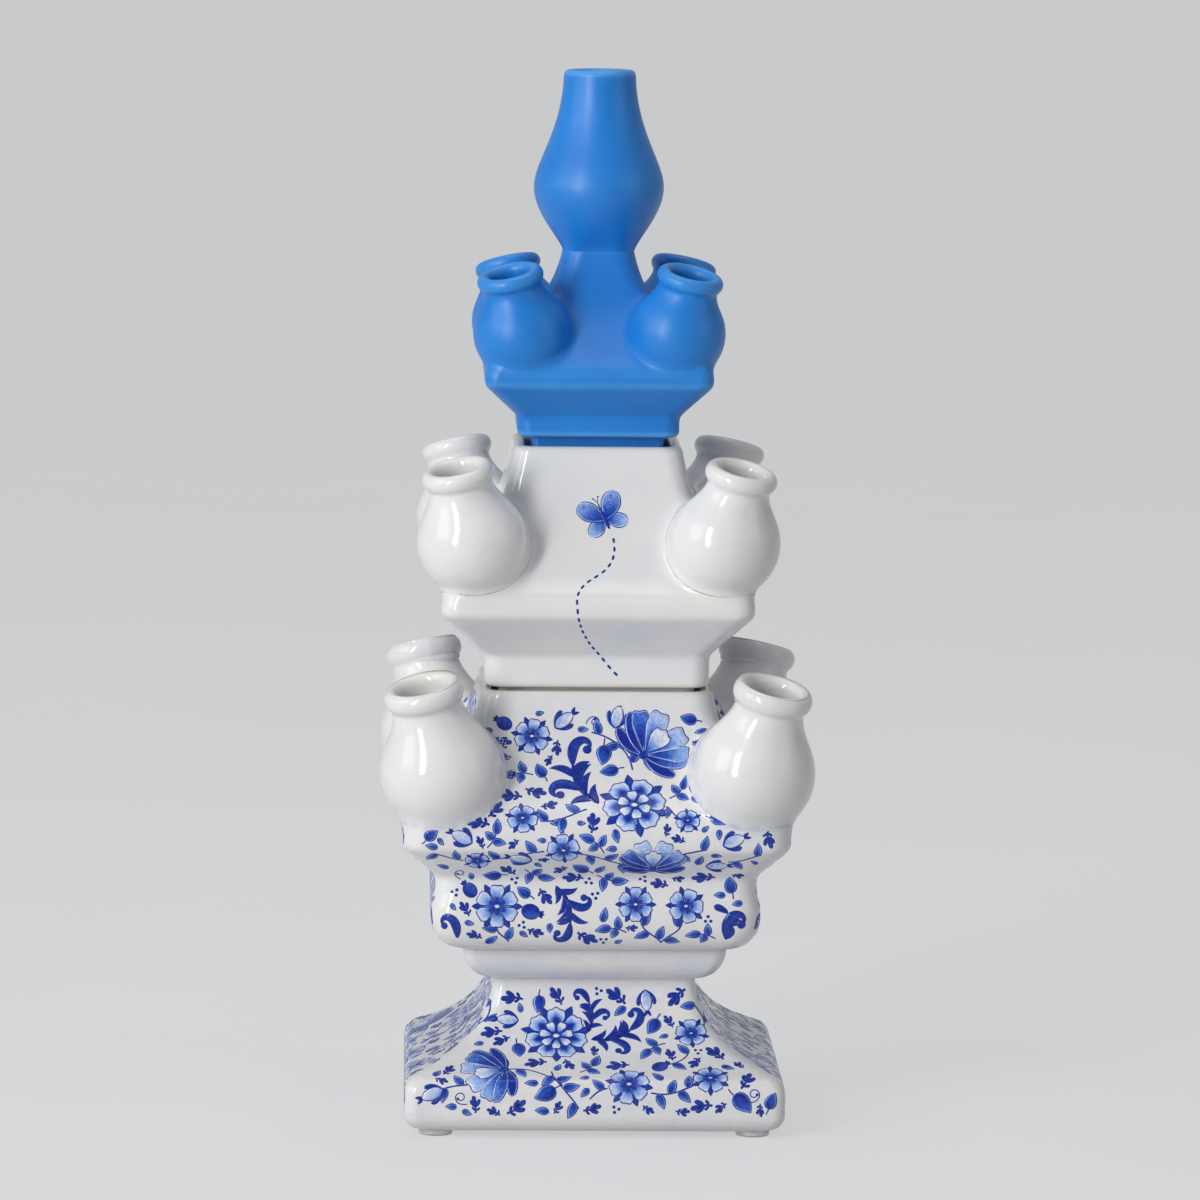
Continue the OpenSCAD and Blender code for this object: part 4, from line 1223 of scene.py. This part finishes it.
# Film of a panel on one side: every shape as a thin closed skin just proud of the glaze
def makeFilm(name, panel, quarter, body):
    shapes = panel["shapes"]
    sizes = [s["tone"].size for s in shapes]
    starts, total = np.r_[0, np.cumsum(sizes)], sum(sizes)
    layer = np.repeat([float(s["layer"]) for s in shapes], sizes)
    p, normal = layOn(np.vstack([s["uv"].reshape(-1, 2) for s in shapes]), panel)
    upper = p + normal * (draw["proud"] + draw["perLayer"] * layer)[:, None]
    faces = np.vstack([filmFaces(s, start, total) for s, start in zip(shapes, starts)])
    spin = spinOf(*(round(part) for part in toward(90 * quarter)))
    values = {key: np.tile(np.concatenate([s[key].ravel() for s in shapes]), 2) for key in (
        "tone", "edge", "phase", "vein", "pale")}
    points = np.vstack([upper, p - normal * draw["under"]]) @ spin.T
    piece = makePiece(name, points, faces.tolist(), cobalt, body, (), values)
    loops = np.empty(len(piece.data.loops), np.int32)
    piece.data.loops.foreach_get("vertex_index", loops)
    sheet = packSheet(shapes)
    piece.data.uv_layers.new(name="OFBake").data.foreach_set(
        "uv", np.vstack([sheet, sheet])[loops].astype(np.float32).ravel())


# Place on a side from its height: the length up the outline
def lift(panel, u, z):
    return np.array([u, np.interp(z, panel["z"], panel["run"])])


# Gardens of the lower body and of the foot: motifs by place (across, height, then the motif's own values),
# stems (place, angle out, place, angle in, leaves, size), tendrils, and what fills the rest (motif, tries,
# least and most size)
bodyGarden = {
    "flowers": (
        (rosette, -24, 146.5, 7.0, 6, 80), (fruit, -31.5, 149.5, 150, 5.6), (bud, -15.5, 149.5, 40, 8.5),
        (fanFlower, 17, 140, 48, 18.0), (rosette, 13.5, 123.5, 12.0, 6, 70, True),
        (scroll, 0.5, 124, 150, 26.0, -1), (bud, 6.5, 149.5, 78, 8.5), (bigLeaf, 3, 146, -112, 8.5),
        (rosette, -27.5, 119, 6.0, 5, 60), (rosette, -12.5, 107.5, 6.4, 5, 96),
        (rosette, 33, 118.5, 4.8, 5, 60), (fanFlower, 20.5, 99.5, 90, 15.0), (bud, -24, 103, 165, 8.5),
        (bud, 46, 109.5, 24, 8.5), (bud, 40, 101, 4, 8.0), (bud, -46, 110, 150, 8.5),
        (rosette, -44, 103, 4.8, 5, 30), (rosette, -36.5, 85, 8.4, 6, 90), (fruit, -27.6, 84, -14, 6.4),
        (fruit, -44.5, 88.5, 130, 5.6), (scroll, -15, 92.5, -38, 20.0, -1), (rosette, 14.5, 86, 6.8, 6, 90),
        (rosette, 33, 85.5, 6.8, 5, 70), (crozier, 48, 73, 92, 14.0, -1), (crozier, 47.5, 73, 40, 7.0, 1),
        (crozier, -51, 73, 92, 12.0, 1), (lobe, 48, 78, 35, 6.0, -30), (lobe, 48.5, 83, 140, 6.0, 30)),
    "stems": (
        (13, 135, 96, -2, 148, 168, 3, 6.5), (11.5, 143, 170, 16, 140, -60, 1, 5.0),
        (-4, 122, 205, -21, 118, 175, 3, 6.5), (-12, 119, -110, -12.5, 113.8, -80, 1, 5.5),
        (-6, 106, -10, 11, 101.5, -12, 3, 6.2), (-19.5, 107, 185, -38.5, 103.5, 190, 3, 6.2),
        (-49, 103, 170, -60, 106, 160, 2, 5.8), (28, 105.5, 16, 40, 108, 10, 2, 6.0),
        (48, 103, -4, 60, 106, 20, 2, 5.8), (24, 71.5, 118, 16.5, 79.6, 100, 3, 6.2),
        (24, 71.5, 62, 31.5, 79, 76, 2, 6.2), (-32, 71.5, 118, -36.5, 77, 96, 2, 6.0),
        (25, 123, -18, 30, 120, 30, 1, 5.0)),
    "tendrils": ((tendril, -4, 151, 70, 13, -430), (tendril, -50, 95, 150, 12, -400)),
    "fill": (
        (leafPair, 260, 6.2, 7.2), (sprig, 240, 7.0, 8.0), (bigLeaf, 240, 6.0, 7.5), (sprig, 420, 5.4, 6.6),
        (looseLeaf, 300, 4.8, 6.4), (sprig, 420, 4.0, 5.0), (smallLeaf, 320, 3.4, 4.6),
        (threeDots, 160, 1, 2)),
    "seed": 7}
footGarden = {
    "flowers": (
        (rosette, -14, 34.5, 12.0, 7, 90, True), (fanFlower, -33, 24.5, 197, 16.5, -1),
        (scroll, -2.5, 36, 56, 15.5, 1),
        (scroll, -1, 33.5, -14, 20.5, 1), (rosette, 12.5, 20.5, 8.0, 6, 80), (rosette, 36, 35.5, 6.2, 5, 95),
        (rosette, 42.5, 22.5, 6.8, 6, 60), (bigLeaf, 49, 19, -62, 9.5), (bud, 19, 50.5, -84, 8.0),
        (bud, -28, 39.5, 176, 8.0), (bigLeaf, -20, 50.5, -112, 7.0), (bud, -56, 18.5, 205, 8.5),
        (bigLeaf, -12, 20, 190, 9.0), (fruit, 21.5, 24.5, 40, 6.0)),
    "stems": (
        (-16, 24, -84, -6, 11.5, -60, 3, 6.8), (-32, 24.5, 12, -12, 20, -40, 2, 6.4),
        (27, 26, 20, 35, 30, 80, 2, 6.4), (20.5, 17.5, -14, 36, 20, 24, 4, 6.4),
        (-47, 20, 186, -56, 18.5, 200, 2, 6.0), (41, 38, 70, 37, 46, 120, 2, 6.0),
        (4.5, 19, 190, -2, 15, 230, 1, 6.0)),
    "tendrils": ((tendril, -47, 13, 190, 14, -430), (tendril, 57, 14, 10, 14, 430)),
    "fill": (
        (leafPair, 160, 6.8, 7.8), (sprig, 200, 7.4, 8.4), (bigLeaf, 160, 6.4, 8.0), (sprig, 300, 5.8, 7.0),
        (looseLeaf, 200, 5.0, 6.6), (sprig, 240, 4.4, 5.4), (smallLeaf, 220, 3.6, 4.8),
        (threeDots, 90, 1, 2)),
    "seed": 11}


# Motifs first, then stems and tendrils, then small leaves and dots where there is room
def plant(panel, d):
    groups = [motif(lift(panel, u, z), *rest) for motif, u, z, *rest in d["flowers"]]
    groups += [
        leafyStem(lift(panel, u, z), out, lift(panel, endU, endZ), *rest)
        for u, z, out, endU, endZ, *rest in d["stems"]]
    groups += [motif(lift(panel, u, z), *rest) for motif, u, z, *rest in d["tendrils"]]
    for shapes in groups:
        addShapes(panel, shapes, draw["room"])
    fillPanel(panel, d["fill"], d["seed"])


bodyPanel = startPanel(lower["outline"], 70.5, 157.0, 51.5, lower["corner"], lower)
footPanel = startPanel(foot["outline"], 8.5, 52.0, 64.0, foot["corner"])
plant(bodyPanel, bodyGarden)
plant(footPanel, footGarden)
for quarter, sideName in enumerate(("Front", "Right", "Back", "Left")):
    makeFilm("lowerBodyPrint" + sideName, bodyPanel, quarter, "lower_tier")
    makeFilm("lowerFootPrint" + sideName, footPanel, quarter, "lower_tier")
print("print laid: %d shapes on the body and %d on the foot of each side" % (
    len(bodyPanel["shapes"]), len(footPanel["shapes"])))

# Butterfly on the front of the middle tier: wings by turn, length, width, curl, layer, ink, side shade and
# veins, and a dashed flight that starts under it and has three swings, each by pull, angle out, end and
# angle in
flight = {
    "place": (2.5, 226.0), "size": 11.5, "turn": 24.0, "dash": 2.0, "gap": 1.5, "dashHalf": 0.45,
    "wings": ((48, 1.0, 0.34, -20, 3, (1.1, 0.35), 0.1, 9), (112, 0.74, 0.28, 16, 2, (1.0, 0.25), 0.0, 7)),
    "spots": (0.55, 0.78), "feeler": (0.3, 14, 0.5, -50), "trunk": (0.36, 0.075), "start": 0.55, "first": 1.5,
    "swings": ((0.42, 285, (-1, 206), 215), (0.4, 215, (-8, 196), 275), (0.36, 275, (9, 167), 318)),
    "dashEnds": (0.6, 1.0, 1.0, 0.6)}


# Wings, spots and feelers on both hands, trunk, then dashes of even length along the cubic swings
def butterfly(panel, d):
    c, size, up = lift(panel, *d["place"]), d["size"], 90 + d["turn"]
    shapes = []
    for sign in (-1, 1):
        for turn, long, wide, curl, layer, shade, side, veins in d["wings"]:
            shapes.append(flowerBlade(
                c, up + sign * turn, size * long, size * wide, sign * curl, layer, (*shade, sign * side),
                veins, 30))
        for s in d["spots"]:
            way = up + sign * (d["wings"][0][0] - 14 * s)
            shapes.append(dot(c + size * s * toward(way), size * 0.05, 4, 0.0))
        start, turn, long, curl = d["feeler"]
        path, heading = curling(c + size * start * toward(up), up + sign * turn, size * long, sign * curl, 12)
        shapes += [ribbon(path, heading, 0.14, 0.9, 4), dot(path[-1], 0.34, 4)]
    long, wide = d["trunk"]
    shapes.append(oval(c, up, size * long, size * wide, ink["rib"], 5, 11))
    line = [c - toward(up) * size * d["start"]]
    for pull, out, stop, into in d["swings"]:
        line += list(stem(line[-1], out, lift(panel, *stop), into, pull, 60)[0][1:])
    line = np.array(line)
    run = runOf(line)
    for start in np.arange(d["first"], run[-1] - d["dash"], d["dash"] + d["gap"]):
        path = pointsAt(np.linspace(start, start + d["dash"], len(d["dashEnds"])), run, line)
        way = np.full(len(path), math.atan2(*(path[-1] - path[0])[::-1]))
        shapes.append(blade(path, way, d["dashHalf"] * np.array(d["dashEnds"]), ink["heart"], 2, 3))
    return shapes


middlePanel = startPanel(middle["outline"], 165.0, 247.0, 41.0, middle["corner"], middle)
middlePanel["shapes"] += butterfly(middlePanel, flight)
makeFilm("middleButterfly", middlePanel, 0, "middle_tier")
print("butterfly laid")

# Studio: pale floor, a tall soft strip to the left of the camera, a wide soft light on the left, weak fill
# on the right and a soft light above; a lamp is its name, place, size and power
studio = {
    "floor": paint(206, 207, 209), "floorVary": paint(200, 201, 204), "floorReach": 14.0, "cloud": 6,
    "sky": (0.74, 0.76, 0.79, 1), "skyLight": 0.30, "skySeen": (0.42, 0.43, 0.44, 1),
    "glow": (0.80, 0.81, 0.82, 1), "glowShare": 0.65, "aim": (0, 0, 0.2),
    "lamps": (
        ("keyStrip", (-1.05, -1.45, 0.75), (0.26, 1.2), 20.0),
        ("leftSoft", (-1.75, -0.75, 0.95), (1.0, 1.1), 9.0),
        ("rightFill", (1.7, -0.9, 0.75), (0.9, 1.2), 3.0),
        ("topSoft", (0.0, 0.1, 1.75), (1.0, 1.0), 6.0))}


# 1 for a ray that is seen straight, in gloss or through clear rubber, otherwise 0
def addStraight(tree):
    path = addNode(tree, "ShaderNodeLightPath")
    straight = addMath(tree, "ADD", path.outputs["Is Camera Ray"], path.outputs["Is Glossy Ray"], True)
    return addMath(tree, "ADD", straight, path.outputs["Is Transmission Ray"], True)


# Two shaders mixed by a factor
def addBlend(tree, factor, first, second):
    both = addNode(tree, "ShaderNodeMixShader")
    for start, end in zip((factor, first.outputs[0], second.outputs[0]), both.inputs):
        tree.links.new(start, end)
    return both.outputs[0]


# Floor that is part lit by itself where it is seen, so that it stays pale far away
def makeFloor(d):
    edge = np.linspace(-1, 1, 9) * d["floorReach"]
    x, y = np.meshgrid(edge, edge, indexing="ij")
    n = len(edge)
    k = np.arange(n - 1)[:, None] * n + np.arange(n - 1)
    quads = np.stack([k, k + n, k + n + 1, k + 1], -1).reshape(-1, 4).tolist()
    mesh = bpy.data.meshes.new("floor")
    mesh.from_pydata(np.stack([x, y, np.zeros_like(x)], -1).reshape(-1, 3).tolist(), [], quads)
    floor = bpy.data.objects.new("floor", mesh)
    bpy.context.scene.collection.objects.link(floor)
    material, tree, shader = startMaterial("paleFloor", Roughness=0.7)
    colour = addMix(tree, addNoise(tree, d["cloud"], 0, 1), d["floor"], d["floorVary"])
    tree.links.new(colour, shader.inputs["Base Color"])
    glow = addNode(tree, "ShaderNodeEmission", {"Color": d["glow"], "Strength": 1.0})
    seen = addMath(tree, "MULTIPLY", addStraight(tree), d["glowShare"])
    tree.links.new(addBlend(tree, seen, shader, glow), tree.nodes["Material Output"].inputs[0])
    mesh.materials.append(material)


# Soft lamps that look at the middle of the stack, and a sky that is seen in the floor's tone
def makeLights(d):
    for name, place, size, power in d["lamps"]:
        lamp = bpy.data.lights.new(name, "AREA")
        lamp.shape = "RECTANGLE"
        lamp.size, lamp.size_y = size
        lamp.energy = power
        holder = bpy.data.objects.new(name, lamp)
        holder.location = place
        holder.rotation_mode = "QUATERNION"
        holder.rotation_quaternion = (Vector(d["aim"]) - Vector(place)).to_track_quat("-Z", "Y")
        bpy.context.scene.collection.objects.link(holder)
    world = bpy.data.worlds.new("studioSky")
    world.use_nodes = True
    tree = world.node_tree
    tree.nodes.clear()
    light = addNode(tree, "ShaderNodeBackground", {"Color": d["sky"], "Strength": d["skyLight"]})
    pale = addNode(tree, "ShaderNodeBackground", {"Color": d["skySeen"], "Strength": 1.0})
    out = addNode(tree, "ShaderNodeOutputWorld")
    tree.links.new(addBlend(tree, addStraight(tree), light, pale), out.inputs[0])
    bpy.context.scene.world = world


makeFloor(studio)
makeLights(studio)
bpy.context.scene.view_settings.view_transform = "Standard"
print("studio lit")
